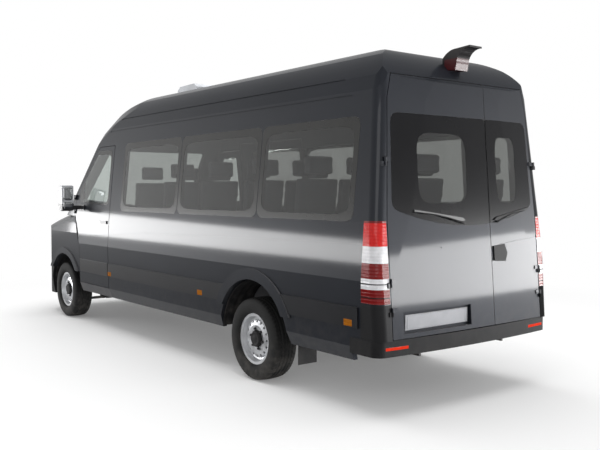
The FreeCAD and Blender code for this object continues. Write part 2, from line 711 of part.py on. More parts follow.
# The nose: a crowned section that falls forwards, cut by its side line and its plan
def nose(name, inset, foot):
    """The closed form ahead of the front doors, or the same moved inwards by an inset."""
    crown = leaning(name + "_crown", "YZ", [
        ("-1010 + %s" % inset, "0"), ("-1010 + %s" % inset, "1290 + crown_rise - %s" % inset),
        ("-870", "1415 + crown_rise - %s" % inset, "bend"), ("-620", "1478 + crown_rise - %s" % inset),
        ("0", "1530 + crown_rise - %s" % inset, "bend"), ("620", "1478 + crown_rise - %s" % inset),
        ("870", "1415 + crown_rise - %s" % inset, "bend"),
                                            ("1010 - %s" % inset, "1290 + crown_rise - %s" % inset),
        ("1010 - %s" % inset, "0")], "bonnet_fall", "-1400", "3900")
    tube = prism(name + "_tube", "YZ", [
        ("sill_y - %s" % inset, foot), ("rocker_y - %s" % inset, "rocker_z"),
        ("shoulder_y - %s" % inset, "shoulder_z"), ("belt_y - %s" % inset, "belt_z"),
                                        ("belt_y - %s" % inset, "1700"),
        ("-(belt_y - %s)" % inset, "1700"), ("-(belt_y - %s)" % inset, "belt_z"),
        ("-(shoulder_y - %s)" % inset, "shoulder_z"), ("-(rocker_y - %s)" % inset, "rocker_z"),
        ("-(sill_y - %s)" % inset, foot)], "wing_rear_x", "3700")
    side = prism(name + "_side", "XZ", [
        ("1800", foot), ("3380", foot), ("nose_x + 10 - %s" % inset, "480"),
                                        ("nose_x + 10 - %s" % inset, "560"),
        ("nose_x - %s" % inset, "nose_z"), ("3430 - %s" % inset, "850", "bend"),
        ("bonnet_edge_x - 0.7 * %s" % inset, "bonnet_edge_z - 0.7 * %s" % inset),
        ("3040", "1195 - %s" % inset, "bend"), ("cowl_x", "cowl_z - %s" % inset),
                                        ("1800", "cowl_z + 60 - %s" % inset)],
        "-1100", "1100")
    plan = prism(name + "_plan", "XY", [
        ("1800", "-1000"), ("2480", "-1000"), ("3050 - %s" % inset, "-nose_half - 38 + %s * 0.4" % inset,
                                               "bend"),
        ("3290 - %s" % inset, "-nose_half + 95 + %s * 0.6" % inset),
        ("3410 - %s" % inset, "-nose_half + 300", "bend"), ("3452 - %s" % inset, "-330"),
        ("overall_length / 2 - %s" % inset, "0", "bend"), ("3452 - %s" % inset, "330"),
        ("3410 - %s" % inset, "nose_half - 300", "bend"),
                                        ("3290 - %s" % inset, "nose_half - 95 - %s * 0.6" % inset),
        ("3050 - %s" % inset, "nose_half + 38 - %s * 0.4" % inset, "bend"), ("2480", "1000"),
                                        ("1800", "1000")],
        "100", "1900")
    return common(name, crown, tube, side, plan)


nose_out = nose("nose_out", "0", "bumper_low_z")
nose_in = nose("nose_in", "45", "bumper_low_z - 60")
nose_shell = less("nose_shell", nose_out, nose_in)
front_well = rod("front_well", "front_arch", front_axle, half + " - front_depth", "tyre_radius",
                 "front_depth + 40")
front_wells = fuse("front_wells", front_well, mirror("front_well_right", front_well))
bonnet_zone = prism("bonnet_zone", "XY", [
    ("2420", "-bonnet_half - 60"), ("3020", "-bonnet_half - 30"), ("3250", "-560"), ("3520", "-520"),
    ("3520", "520"), ("3250", "560"), ("3020", "bonnet_half + 30"), ("2420", "bonnet_half + 60")], "1012",
                    "1600")
bonnet_hole = prism("bonnet_hole", "XY", [
    ("2420 - shut_gap", "-bonnet_half - 60 - shut_gap"), ("3020", "-bonnet_half - 30 - shut_gap"),
    ("3250 + shut_gap", "-560 - shut_gap"), ("3520", "-520 - shut_gap"), ("3520", "520 + shut_gap"),
    ("3250 + shut_gap", "560 + shut_gap"), ("3020", "bonnet_half + 30 + shut_gap"),
    ("2420 - shut_gap", "bonnet_half + 60 + shut_gap")], "1012 - shut_gap", "1600")
screen_base = prism("screen_base", "XY", [
    ("1700", "-1100"), ("screen_foot_x - screen_bow * 1.41 + 60", "-1100"),
                                          ("screen_foot_x + 60", "0", "bend"),
    ("screen_foot_x - screen_bow * 1.41 + 60", "1100"), ("1700", "1100")], "900", "1700")
pin_left = rod("pin_left", "bonnet_pin_radius", "bonnet_hinge_x", "bonnet_half + 36", "bonnet_hinge_z", "44")
pin_room = rod("pin_room", "bonnet_pin_radius + bearing_gap", "bonnet_hinge_x", "bonnet_half + 34",
               "bonnet_hinge_z", "60")
bonnet = less("bonnet", common("bonnet_raw", nose_shell, bonnet_zone), screen_base, pin_room,
              mirror("pin_room_right", pin_room))
node("bonnet", bonnet)

lamp_points = [("600", "720"), ("590", "900"), ("700", "1012"), ("905", "1075"), ("1000", "1075"),
               ("1000", "850"),
               ("900", "730")]
head_edge = outline("head_edge", "YZ", lamp_points, "3010")
head_left_zone = swept("head_left_zone", head_edge, "YZ", "600")
lamp_hole = swept("lamp_hole", grown("head_rim", head_edge, "seat_gap"), "YZ", "600")
head_left = common("head_left", nose_shell, head_left_zone)
node("headlamps", group("headlamps", head_left, mirror("head_right", head_left)))
head_holes = fuse("head_holes", lamp_hole, mirror("head_hole_right", lamp_hole))
grille_edge = outline("grille_edge", "YZ", [("-572", "720"), ("572", "720"), ("564", "880"), ("512", "998"),
                                            ("-512", "998"), ("-564", "880")], "3150")
grille_zone = swept("grille_zone", grille_edge, "YZ", "450")
grille_hole = swept("grille_hole", grown("grille_rim", grille_edge, "seat_gap"), "YZ", "450")
slots = []
for k in range(4):
    slots.append(block("grille_slot_%d" % k, "3150", "3600", "-505 + %d" % (6 * k), "505 - %d" % (6 * k),
                       "748 + %d" % (60 * k), "748 + 34 + %d" % (60 * k)))
node("grille", less("grille", common("grille_raw", nose_shell, grille_zone), *slots))
outer_above = fuse("outer_above", block("wing_top_trim", "1900", "2760", "-1100", "1100", "cowl_z + 2",
                                        "1700"), block(
    "cowl_cut", "1900", "bonnet_hinge_x + 90", "-(bonnet_half + 66)", "bonnet_half + 66", "1000", "1700"))
wing_zone = block("wing_zone", "wing_rear_x", "3600", "-1100", "1100", "bumper_top_z", "1700")
front_flare = common("front_flare", rod("front_flare_disc", "front_flare", front_axle, "rocker_y - wall",
                                        "tyre_radius",
                                        half + " - (rocker_y - wall)"),
                     block("front_flare_zone", "wing_rear_x + 8", "2960", "800", "1100", "bumper_top_z",
                           "1400"))
flares = fuse("flares", front_flare, mirror("front_flare_right", front_flare))
door_front_gap = less("door_front_gap", door_hole, block("door_front_keep", "0", "wing_rear_x", "0", "1200",
                                                         "0", "960"))
wings = less("wings", fuse("wings_raw", common("wings_shell", nose_shell, wing_zone), flares), front_wells,
             bonnet_hole,
             head_holes, grille_hole, door_front_gap, mirror("door_front_gap_right", door_front_gap),
             frame_rooms,
             mirror("frame_rooms_two", frame_rooms), outer_above)
panel_half = "(bonnet_half - 145)"
node("front_panel", common("front_panel", wings, block("front_panel_zone", "2900", "3600", "-" + panel_half,
                                                       panel_half,
                                                       "0", "2000")))
wing_half_left = common("wing_half_left", wings, block("left_half", "1000", "3600",
                                                       panel_half + " + seat_gap", "1100",
                                                       "0", "2000"))
wing_left = fuse("wing_left", wing_half_left, pin_left)
node("front_wing_left", wing_left)
node("front_wing_right", mirror("front_wing_right", wing_left))
bumper_zone = block("bumper_zone", "2700", "3600", "-1100", "1100", "200", "bumper_top_z - seat_gap")
intake = block("intake", "3300", "3600", "-530", "530", "370", "476")
node("front_bumper", less("front_bumper", common("bumper_raw", nose_shell, bumper_zone), front_wells, intake))

# Rear doors, split to the right of the middle
rear_leaf = prism("rear_leaf", "YZ", door_shape("0"), "-3700", "-3180")
rear_raw = common("rear_raw", shell, rear_leaf)
rear_band = [
    ("rear_glass_y - pane_corner", "rear_glass_side_z + pane_corner"),
    ("rear_glass_y - 26 - pane_corner", "rear_glass_top_z - pane_corner"),
    ("-(rear_glass_y - 26 - pane_corner)", "rear_glass_top_z - pane_corner"),
    ("-(rear_glass_y - pane_corner)", "rear_glass_side_z + pane_corner"),
    ("0", "rear_glass_low_z + pane_corner", "bend")]
band_edge = outline("rear_band_outline", "YZ", rear_band, "-3700")
band_glass = common("band_glass", skin, swept("band_glass_run",
                                              grown("band_glass_edge", band_edge, "pane_corner"),
                                              "YZ", "500"))
band_bed = common("band_bed", rebate, swept("band_bed_run",
                                            grown("band_bed_edge", band_edge, "pane_corner + seat_gap"),
                                            "YZ", "500"))
left_zone = block("left_leaf_zone", "-3700", "-3100", "rear_split_y + shut_gap / 2", "1100", "0", "3000")
right_zone = block("right_leaf_zone", "-3700", "-3100", "-1100", "rear_split_y - shut_gap / 2", "0", "3000")
sight_left = swept("sight_left", grown("sight_left_edge", outline("sight_left_outline", "YZ", [
    ("600 - 60", "1540 + 60"), ("600 - 60", "2110 - 60"), ("0 + 60", "2110 - 60"), ("0 + 60", "1540 + 60")],
                                                                  "-3700"),
    "60"), "YZ", "500")
sight_right = swept("sight_right", grown("sight_right_edge", outline("sight_right_outline", "YZ", [
    ("-330 - 60", "1540 + 60"), ("-330 - 60", "2110 - 60"), ("-640 + 60", "2110 - 60"),
    ("-640 + 60", "1540 + 60")],
    "-3700"), "60"), "YZ", "500")
plate_recess = block("plate_recess", "-3700", "-3432", "40", "746", "606", "760")
rear_crease = common("rear_crease", skin, prism("rear_crease_run", "YZ", [
    ("1000", "1250"), ("1000", "1262"), ("560", "1232"), ("330", "1206"), ("330", "1198"), ("560", "1220")],
    "-3700", "-3180"))
rear_hinge_x = "(rear_bow * (rear_hinge_y / rear_face_y) ^ 2 - rear_foot_x - hinge_reach * 0.75)"
rear_hinges = [hinge("rear_hinge_%d" % k, rear_hinge_x, "rear_hinge_y", height, "rear_lean",
                     (rear_hinge_x + " + 4", rear_hinge_x + " + 36", "rear_hinge_y", "rear_hinge_y + 26"),
                     (rear_hinge_x + " + 2", rear_hinge_x + " + 36", "rear_hinge_y - 48", "rear_hinge_y"))
               for k, height in enumerate(("470", "675", "1535"))]
post_knuckles = fuse("post_knuckles", *[pair[0] for pair in rear_hinges])
leaf_knuckles = fuse("leaf_knuckles", *[pair[1] for pair in rear_hinges])
leaf_rooms = fuse("leaf_rooms", *[pair[2] for pair in rear_hinges])
post_rooms = fuse("post_rooms", *[pair[3] for pair in rear_hinges])
node("side_panel_left", fuse("side_panel_left", less("panel_left_cleared", panel_left, post_rooms),
                             post_knuckles))
node("side_panel_right", fuse("side_panel_right", less("panel_right_cleared", panel_right,
                                                       mirror("post_rooms_right", post_rooms)),
                              mirror("post_knuckles_right", post_knuckles)))
leaf_left = less("leaf_left", common("rear_left_raw", rear_raw, left_zone), band_bed, sight_left,
                 plate_recess,
                 rear_crease, leaf_rooms)
leaf_right = less("leaf_right", common("rear_right_raw", rear_raw, right_zone), band_bed, sight_right,
                  mirror("rear_crease_right", rear_crease), mirror("leaf_rooms_right", leaf_rooms))
node("rear_door_left", fuse("rear_door_left", leaf_left, leaf_knuckles))
node("rear_door_right", fuse("rear_door_right", leaf_right, mirror("leaf_knuckles_right", leaf_knuckles)))
node("rear_door_glass_left", common("rear_door_glass_left", band_glass, left_zone))
node("rear_door_glass_right", common("rear_door_glass_right", band_glass, right_zone))

# Floor with its wheel houses, and the inner sills below the front doors
liner = envelope("liner", "(wall + seat_gap)", "sill_z - 60")
liner_wide = envelope("liner_wide", "(wall + shut_gap)", "sill_z - 60")
floor_in = common("floor_in", block("floor_slab", "-3460", "1975", "-1000", "1000", "floor_z - floor_thick",
                                    "floor_z"),
                  liner)
door_clear = common("door_clear", less("door_clear_skin", outer, liner_wide),
                    fuse("door_clear_zones", rear_open, door_hole, mirror("door_hole_far", door_hole)))
house_raw = less("house_raw", rod("house_disc", "rear_arch + house_skin", rear_axle,
                                  half + " - arch_depth - house_skin", "tyre_radius", "arch_depth"),
                 rod("house_room", "rear_arch", rear_axle, half + " - arch_depth", "tyre_radius",
                     "arch_depth + 40"))
house_left = common("house_left", house_raw, liner, block("house_zone", "-2600", "-1200", "600",
                                                          "rocker_y - wall - seat_gap",
                                                           "floor_z - floor_thick", "1200"))
house_gap = rod("house_gap", "rear_arch + house_skin + seat_gap", rear_axle,
                half + " - arch_depth - house_skin - seat_gap", "tyre_radius", "arch_depth + 40")
inner_sill = block("inner_sill", "door_rear_x", "wing_rear_x - 20", "868", "rocker_y - wall - 9", "440",
                   "floor_z - floor_thick - seat_gap")
inner_sill = less("inner_sill_cut", inner_sill, front_well)
sill_whole = fuse("sill_whole", sill_left, inner_sill)
flare_gap = block("flare_gap", "-2420", "-1290", "rocker_y - wall - seat_gap", "1100", "500", "700")
floor_slab = less("floor_cut", floor_in, door_clear, house_gap, mirror("house_gap_right", house_gap),
                  flare_gap,
                  mirror("flare_gap_right", flare_gap), front_wells)
floor_all = group("floor_all", floor_slab, house_left, mirror("house_right", house_left), sill_whole,
                  mirror("sill_whole_right", sill_whole))
node("floor_pan", floor_all)

# Underbody rails with cross-members, bumper brackets, spring hangers and a towing lug
under = "floor_z - floor_thick"
rail_left = block("rail_left", "-3320", "3150", "rail_half - rail_wide / 2", "rail_half + rail_wide / 2",
                  under + " - rail_tall", under)
rail_in = "rail_half - rail_wide / 2 - seat_gap"
rail_out = "rail_half + rail_wide / 2 + seat_gap"
rail_low = under + " - rail_tall - seat_gap"
members = [block("member_%d" % k, "%d" % x, "%d + 90" % x, "-(%s)" % rail_in, rail_in,
                 under + " - rail_tall + 15",
                 under + " - 15") for k, x in enumerate((-3320, -2330, -1150, -100, 900, 1900, 3050))]
spring_eye_front = "(" + rear_axle + " + 640)"
spring_eye_rear = "(" + rear_axle + " - 460)"
hangers = [block("hanger_%d" % k, x + " - 40", x + " + 40", rail_out, "spring_y + spring_wide / 2",
                 "448", under + " - 20") for k, x in enumerate((spring_eye_front, spring_eye_rear))]
bumper_outer = outline("bumper_outer", "XY", [
    ("-bumper_side_x", "978"), ("-3348", "978"), ("-3404", "956", "bend"), ("-3428", "902"),
    ("-overall_length / 2", "0", "bend"), ("-3428", "-902"), ("-3404", "-956", "bend"), ("-3348", "-978"),
    ("-bumper_side_x", "-978")], "rear_bumper_low_z")
bumper_tall = "rear_bumper_top_z - rear_bumper_low_z"
bumper_mass = swept("bumper_mass", bumper_outer, "XY", bumper_tall)
bumper_void = swept("bumper_void", grown("bumper_inside", bumper_outer, "-bumper_skin"), "XY", bumper_tall)
bumper_reach = swept("bumper_reach", grown("bumper_bracket_edge", bumper_outer, "-bumper_skin - seat_gap"),
                     "XY",
                     bumper_tall)
brackets = common("brackets", bumper_reach, block("bracket_zone", "-3460", "-3320 - seat_gap",
                                                  "rail_half - 30", "rail_half + 30",
                                                   under + " - rail_tall", "rear_bumper_top_z - 20"))
tow_lug = less("tow_lug", block("tow_lug_plate", "-3350", "-3270", "rail_half - 10", "rail_half + 10", "400",
                                rail_low),
               rod("tow_hole", "tow_hole_radius", "-3315", "rail_half - 40", "428", "80"))
tow_front = less("tow_front", block("tow_front_plate", "3100", "3120", "rail_half - 36", "rail_half + 36",
                                    "392",
                                    rail_low),
                 rod("tow_front_hole", "tow_hole_radius", "3090", "rail_half", "428", "40", "X"))
jack_pads = [block("jack_pad_%d" % k, "%d" % x, "%d + 120" % x, "rail_half - 36", "rail_half + 36",
                   under + " - rail_tall - 14", rail_low) for k, x in enumerate((1500, -900))]
half_rails = [rail_left, brackets, tow_lug, tow_front] + hangers + jack_pads
node("underbody_rails", group("underbody_rails", *(half_rails + members + [
    mirror("rail_piece_%d_right" % k, piece) for k, piece in enumerate(half_rails)])))
bumper_opening = block("bumper_opening", "-3300", "-3000", "-(978 - bumper_skin)", "978 - bumper_skin", "300",
                       "700")
reflector = less("reflector", common("reflector_raw", bumper_mass, block(
    "reflector_zone", "-3600", "-3300", "697", "904", "499", "520")), swept("reflector_back", grown(
        "reflector_depth", bumper_outer, "-6"), "XY", bumper_tall))
reflector_seat = less("reflector_seat", common("reflector_seat_raw", bumper_mass, block(
    "reflector_seat_zone", "-3600", "-3300", "697 - seat_gap", "904 + seat_gap", "499 - seat_gap",
    "520 + seat_gap")),
    swept("reflector_seat_back", grown("reflector_seat_depth", bumper_outer, "-6 - seat_gap"), "XY",
          bumper_tall))
reflector_right = mirror("reflector_right", reflector)
bumper_plain = less("bumper_plain", bumper_mass, bumper_void, bumper_opening, reflector_seat,
                    mirror("reflector_seat_right", reflector_seat))
node("rear_bumper", bumper_plain)

# Bulkhead with the front wheel houses, the cowl tray and the dashboard
nose_liner = nose("nose_liner", "(45 + seat_gap)", "bumper_low_z - 60")
arch_rooms = fuse("arch_rooms", rod("arch_room_left", "front_arch + 1", front_axle, half + " - front_depth",
                                    "tyre_radius",
                                    "front_depth + 40"),
                  rod("arch_room_right", "front_arch + 1", front_axle, "-(%s) - 40" % half, "tyre_radius",
                      "front_depth + 40"))
front_house = less("front_house", rod("front_house_disc", "front_arch + house_skin", front_axle,
                                      half + " - front_depth - house_skin", "tyre_radius",
                                      "front_depth + house_skin"), front_well)
front_house = common("front_house_left", front_house, nose_liner, block(
    "front_house_zone", "1900", "2995", "500", "rocker_y - wall - seat_gap", "floor_z - floor_thick", "1200"))
tray = common("cowl_tray", nose_liner, fuse("cowl_tray_both",
                                            block("tray_mid", "2060", "2580", "-840", "840", "1135", "1150"),
                                            block("tray_wide", "2150", "2580", "-1000", "1000", "1135",
                                                  "1150")))
dash_wall = less("dash_wall", common("dash_wall_raw", nose_liner, block(
    "dash_wall_plate", "2060", "2085", "-(rocker_y - wall - seat_gap)", "rocker_y - wall - seat_gap",
    "floor_z - floor_thick", "1150")), arch_rooms)
toe_board = less("toe_board", block("toe_plate", "1975 + seat_gap", "2085", "-840", "840",
                                    "floor_z - floor_thick",
                                    "floor_z"), arch_rooms)
node("bulkhead", fuse("bulkhead", front_house, mirror("front_house_right", front_house), tray, dash_wall,
                      toe_board))
dash = common("dash", prism("dash_form", "XZ", [
    ("2060 - seat_gap", "930"), ("2060 - seat_gap", "1150 + seat_gap"), ("2300", "1150 + seat_gap"),
                                                ("2300", "1240"),
    ("2080", "1262", "bend"), ("1900", "1240"), ("1800", "1170", "bend"), ("1790", "1090"), ("1880", "940")],
    "-880", "880"), liner_wide)
dash_clear = less("dash_cut", dash, block("dash_trim_left", "1700", "2400", "850", "1000", "800", "1400"),
                  block("dash_trim_right", "1700", "2400", "-1000", "-850", "800", "1400"))
column_axis = FreeCAD.Rotation(FreeCAD.Vector(0, 1, 0), -value("column_tilt"))


def on_column(thing, away):
    """Place a piece on the steering column's axis, a distance from the wheel towards the dashboard."""
    spot = FreeCAD.Vector(value("steer_wheel_x"), value("driver_y"), value("steer_wheel_z"))
    thing.Placement = FreeCAD.Placement(spot + column_axis.multVec(FreeCAD.Vector(0, 0, -value(away))),
                                        column_axis)
    return thing


column = doc.addObject("Part::Cylinder", "column")
tie(column, "Radius", "32")
tie(column, "Height", "300")
on_column(column, "338")
node("dashboard", fuse("dashboard_whole", dash_clear, column))


def body_sketch(body, name, role):
    """A sketch on one of a body's own origin planes."""
    sketch = body.newObject("Sketcher::SketchObject", name)
    plane = [one for one in body.Origin.OriginFeatures if one.Role == role][0]
    sketch.AttachmentSupport = [(plane, "")]
    sketch.MapMode = "FlatFace"
    return sketch


def turned(name, points, place):
    """A body turned about its own Z axis from a half section of radius and height."""
    body = doc.addObject("PartDesign::Body", name)
    sketch = body_sketch(body, name + "_half", "XZ_Plane")
    draw(sketch, points)
    spin = body.newObject("PartDesign::Revolution", name + "_turn")
    spin.Profile = sketch
    spin.ReferenceAxis = (sketch, ["V_Axis"])
    spin.Angle = 360
    body.Placement = place
    return body, spin


grip = "steer_grip_radius"
ring = [("steer_wheel_radius + %.4f * %s" % (math.cos(math.radians(a)), grip),
         "%.4f * %s" % (math.sin(math.radians(a)), grip)) for a in range(30, 390, 60)]
wheel_ring, ring_turn = turned("steering_ring", ring, FreeCAD.Placement())
on_column(wheel_ring, "0")
hub = doc.addObject("Part::Cylinder", "steering_hub")
tie(hub, "Radius", "52")
tie(hub, "Height", "40")
on_column(hub, "37.7")
spokes = []
for k, angle in enumerate((0, 90, 180, 270)):
    spoke = doc.addObject("Part::Box", "spoke_%d" % k)
    tie(spoke, "Length", "steer_wheel_radius")
    tie(spoke, "Width", "34")
    tie(spoke, "Height", "14")
    turn = column_axis.multiply(FreeCAD.Rotation(FreeCAD.Vector(0, 0, 1), angle))
    spot = FreeCAD.Vector(value("steer_wheel_x"), value("driver_y"), value("steer_wheel_z"))
    spoke.Placement = FreeCAD.Placement(spot + turn.multVec(FreeCAD.Vector(0, -17, -16)), turn)
    spokes.append(spoke)
node("steering_wheel", fuse("steering_wheel", wheel_ring, hub, *spokes))

# Seats: soft cushions, backrests and headrests, and the frames under them
pads = []
frames = []


def seat(name, x, y, wide="seat_wide"):
    """The three soft pieces of one place, from the front edge of its cushion."""
    pads.append(block(name + "_cushion", "%s - seat_deep" % x, x, "%s - (%s) / 2 + 5" % (y, wide),
                      "%s + (%s) / 2 - 5" % (y, wide), "cushion_top_z - cushion_thick", "cushion_top_z"))
    back = prism(name + "_back", "XZ", [
        ("%s - seat_deep - seat_gap" % x, "cushion_top_z - cushion_thick"),
        ("%s - seat_deep - seat_gap" % x, "cushion_top_z + 20"),
        ("%s - seat_deep - 0.16 * back_tall" % x, "cushion_top_z + back_tall"),
        ("%s - seat_deep - 0.16 * back_tall - 0.8 * back_thick" % x, "cushion_top_z + back_tall - 10"),
        ("%s - seat_deep - seat_gap - back_thick" % x, "cushion_top_z - cushion_thick")],
        "%s - (%s) / 2 + 5" % (y, wide), "%s + (%s) / 2 - 5" % (y, wide))
    pads.append(back)
    pads.append(block(name + "_head", "%s - seat_deep - 0.16 * back_tall - 0.85 * back_thick - 12" % x,
                      "%s - seat_deep - 0.16 * back_tall + 2" % x, "%s - head_wide / 2" % y,
                      "%s + head_wide / 2" % y,
                      "cushion_top_z + back_tall + seat_gap", "cushion_top_z + back_tall + head_tall"))


def stand(name, x, y0, y1):
    """The base under one group of places: a seat pan on two legs with a foot rail."""
    pan = block(name + "_pan", "%s - seat_deep + 10" % x, "%s - 10" % x, y0, y1,
                "cushion_top_z - cushion_thick - 34", "cushion_top_z - cushion_thick - seat_gap")
    legs = [block("%s_leg_%d" % (name, k), "%s - seat_deep + 70" % x, "%s - 80" % x, a, b,
                  "floor_z + seat_gap",
                  "cushion_top_z - cushion_thick - 30")
            for k, (a, b) in enumerate(((y0 + " + 60", y0 + " + 90"), (y1 + " - 90", y1 + " - 60")))]
    frames.append(fuse(name, pan, *legs))


for row in range(int(value("rows"))):
    front = "(first_row_x + seat_deep - %d * row_pitch)" % row
    outer_left = "(aisle_left_y + seat_wide * 1.5 + 22)"
    inner_left = "(aisle_left_y + seat_wide * 0.5 + 12)"
    seat("row_%d_a" % row, front, outer_left)
    seat("row_%d_b" % row, front, inner_left)
    stand("stand_%d_left" % row, front, "aisle_left_y + 10", "aisle_left_y + seat_wide * 2 + 10 - 300")
    if row > 0:
        seat("row_%d_c" % row, front, "-560")
        stand("stand_%d_right" % row, front, "-560 - seat_wide / 2 + 80", "-560 + seat_wide / 2")
seat("driver", "front_seat_x + seat_deep", "driver_y")
stand("driver_stand", "front_seat_x + seat_deep", "driver_y - seat_wide / 2", "driver_y + seat_wide / 2")
seat("mate", "front_seat_x + seat_deep", "-520")
seat("mid", "front_seat_x + seat_deep", "-60")
stand("bench_stand", "front_seat_x + seat_deep", "-520 - seat_wide / 2", "-60 + seat_wide / 2")
node("seat_pads", group("seat_pads", *pads))
node("seat_frames", group("seat_frames", *frames))

# Engine, gearbox and drive shaft
node("engine_block", block("engine_block", "2330", "2960", "-235", "235", "300 + seat_gap", "930"))
gearbox = doc.addObject("Part::Cone", "gearbox")
gearbox.Placement = FreeCAD.Placement(FreeCAD.Vector(), FreeCAD.Rotation(FreeCAD.Vector(0, 1, 0), -90))
tie(gearbox, "Radius1", "170")
tie(gearbox, "Radius2", "70")
tie(gearbox, "Height", "700")
move(gearbox, "2330 - seat_gap", "0", "drive_z")
diff_reach = "170"
shaft = rod("shaft", "42", rear_axle + " + " + diff_reach + " + seat_gap", "0", "drive_z",
            "1700 - (" + rear_axle + " + " + diff_reach + ")", "X")
node("drive_line", fuse("drive_line", gearbox, shaft))

# Rear axle on its leaf springs
tube = rod("axle_tube", "axle_radius", rear_axle, "-760", "tyre_radius", "1520")
diff, diff_turn = turned("diff", [
    ("0", "-150"), ("90", "-138"), ("150", "-60"), ("150", "60"), ("90", "138"), ("0", "150")],
                         FreeCAD.Placement())
tie(diff, "Placement.Base.x", rear_axle)
tie(diff, "Placement.Base.z", "tyre_radius + 20")
nose_piece = rod("diff_nose", "62", rear_axle, "0", "drive_z", diff_reach, "X")
stub_end = wheel_y + " + hub_face - 4"
stub = rod("rear_stub", "stub_radius", rear_axle, "740", "tyre_radius", stub_end + " - 740")
brake = rod("rear_brake", "150", rear_axle, "752", "tyre_radius", "70")
pad_block = block("spring_pad", rear_axle + " - 60", rear_axle + " + 60", "spring_y - spring_wide / 2",
                  "spring_y + spring_wide / 2", "311.3", "tyre_radius + 20")
axle_half = fuse("axle_half", stub, brake, pad_block)
node("rear_axle", fuse("rear_axle", tube, diff, nose_piece, axle_half, mirror("axle_half_right", axle_half)))
leaf_body = doc.addObject("PartDesign::Body", "leaf_body")
leaf_sketch = body_sketch(leaf_body, "leaf_side", "XZ_Plane")
draw(leaf_sketch, [
    (spring_eye_rear, "448 - seat_gap"), (rear_axle, "305 - seat_gap", "bend"),
                   (spring_eye_front, "448 - seat_gap"),
    (spring_eye_front, "448 - seat_gap - spring_thick"), (rear_axle, "305 - seat_gap - spring_thick", "bend"),
    (spring_eye_rear, "448 - seat_gap - spring_thick")])
leaf_pad = leaf_body.newObject("PartDesign::Pad", "leaf_pad")
leaf_pad.Profile = leaf_sketch
tie(leaf_pad, "Length", "spring_wide")
tie(leaf_body, "Placement.Base.y", "spring_y + spring_wide / 2")
node("leaf_springs", group("leaf_springs", leaf_body, mirror("leaf_right", leaf_body)))

# Front suspension: cross-beam, two arms each side and the steering rack
beam = block("front_beam", front_axle + " - 70", front_axle + " + 70", "-430", "430", "200", "300")
arm_low = block("arm_low", front_axle + " - 28", front_axle + " + 28", "400", "steer_y + 12", "200",
                "228 - seat_gap")
arm_top = block("arm_top", front_axle + " - 28", front_axle + " + 28", "rail_half - 20", "steer_y + 12",
                "484 + seat_gap", under + " - rail_tall - seat_gap")
arm_post = block("arm_post", front_axle + " - 28", front_axle + " + 28", "400", "rail_half - 20 + 30", "200",
                 under + " - rail_tall - seat_gap")
rack = rod("rack", "24", front_axle + " - 110", "-430", "250", "860")
rack_block = block("rack_block", front_axle + " - 130", front_axle + " - 60", "-60", "60", "220", "280")
arms = fuse("arms", arm_low, arm_top, arm_post)
node("front_suspension", fuse("front_suspension", beam, arms, mirror("arms_right", arms), rack, rack_block))
post = rod("swivel_post", "24", front_axle, "steer_y", "228", "256", "Z")
front_stub = rod("front_stub", "stub_radius", front_axle, "steer_y", "tyre_radius", stub_end + " - steer_y")
disc = rod("front_disc", "122", front_axle, "steer_y + 36", "tyre_radius", "26")
carrier = rod("front_carrier", "60", front_axle, "steer_y", "tyre_radius", "50")
knuckle = fuse("knuckle", post, front_stub, disc, carrier)
node("knuckle_left", knuckle)
node("knuckle_right", mirror("knuckle_right", knuckle))

# Fuel tank, exhaust and spare wheel
tank_body = doc.addObject("PartDesign::Body", "tank_body")
tank_sketch = body_sketch(tank_body, "tank_end", "YZ_Plane")
tank_in = "-(rail_half + rail_wide / 2 + seat_gap)"
draw(tank_sketch, [("-850", "380"), (tank_in, "350"), (tank_in, under + " - seat_gap"),
                   ("-850", under + " - seat_gap")])
tank_pad = tank_body.newObject("PartDesign::Pad", "tank_pad")
tank_pad.Profile = tank_sketch
tie(tank_pad, "Length", "1050")
tie(tank_body, "Placement.Base.x", "-380")
node("fuel_tank", tank_body)
silencer = rod("silencer", "86", "100", "rail_half + rail_wide / 2 + 86 + seat_gap + 2",
               under + " - 86 - seat_gap", "640", "X")
tail_pipe = rod("tail_pipe", "28", "-760", "rail_half + rail_wide / 2 + 86", under + " - 100", "900", "X")
front_pipe = rod("front_pipe", "28", "700", "rail_half + rail_wide / 2 + 86", under + " - 100", "900", "X")
node("exhaust", fuse("exhaust", silencer, tail_pipe, front_pipe))
spare_z = "(floor_z - floor_thick - seat_gap - tyre_width / 2 + 2)"
spare_place = FreeCAD.Placement(FreeCAD.Vector(-2745, 0, value(spare_z)), FreeCAD.Rotation())
spare, spare_turn = turned("spare", [
    ("0", "-70"), ("190", "-80"), ("212", "-95"), ("290", "2 - tyre_width / 2"), ("348", "-88"),
                                     ("356", "0", "bend"),
    ("348", "88"), ("290", "tyre_width / 2 - 2"), ("212", "95"), ("190", "80"), ("0", "70")], spare_place)
node("spare_wheel", spare)

# What lies on the skin: a layer outside the body, cut to the outline of each fitting
over_skin = envelope("over_skin", "(0 - seat_gap)", "sill_z - 40")
layer = less("layer", envelope("layer_out", "(0 - fitting_thick)", "sill_z - 30"), over_skin)
arch_clear = rod("arch_clear", "rear_flare + 2", rear_axle, "600", "tyre_radius", "600")
strip_a = block("strip_a", "-2900", "door_rear_x - rear_gap", "800", "1100", "strip_low_z", "strip_top_z")
strip_b = block("strip_b", "-lamp_front_x + 30", "-2300", "800", "1100", "strip_low_z", "strip_top_z")
strip_zone = less("strip_zone", fuse("strip_both", strip_a, strip_b), arch_clear)
marker_spots = [block("marker_%d" % k, x + " - 45", x + " + 45", "700", "1100", "strip_low_z + 8",
                      "strip_low_z + 56")
                for k, x in enumerate(("-1005", "-3120", "1045"))]
marker_room = fuse("marker_room", *marker_spots)
strip_left = less("strip_left", common("strip_left_raw", layer, strip_zone), marker_room)
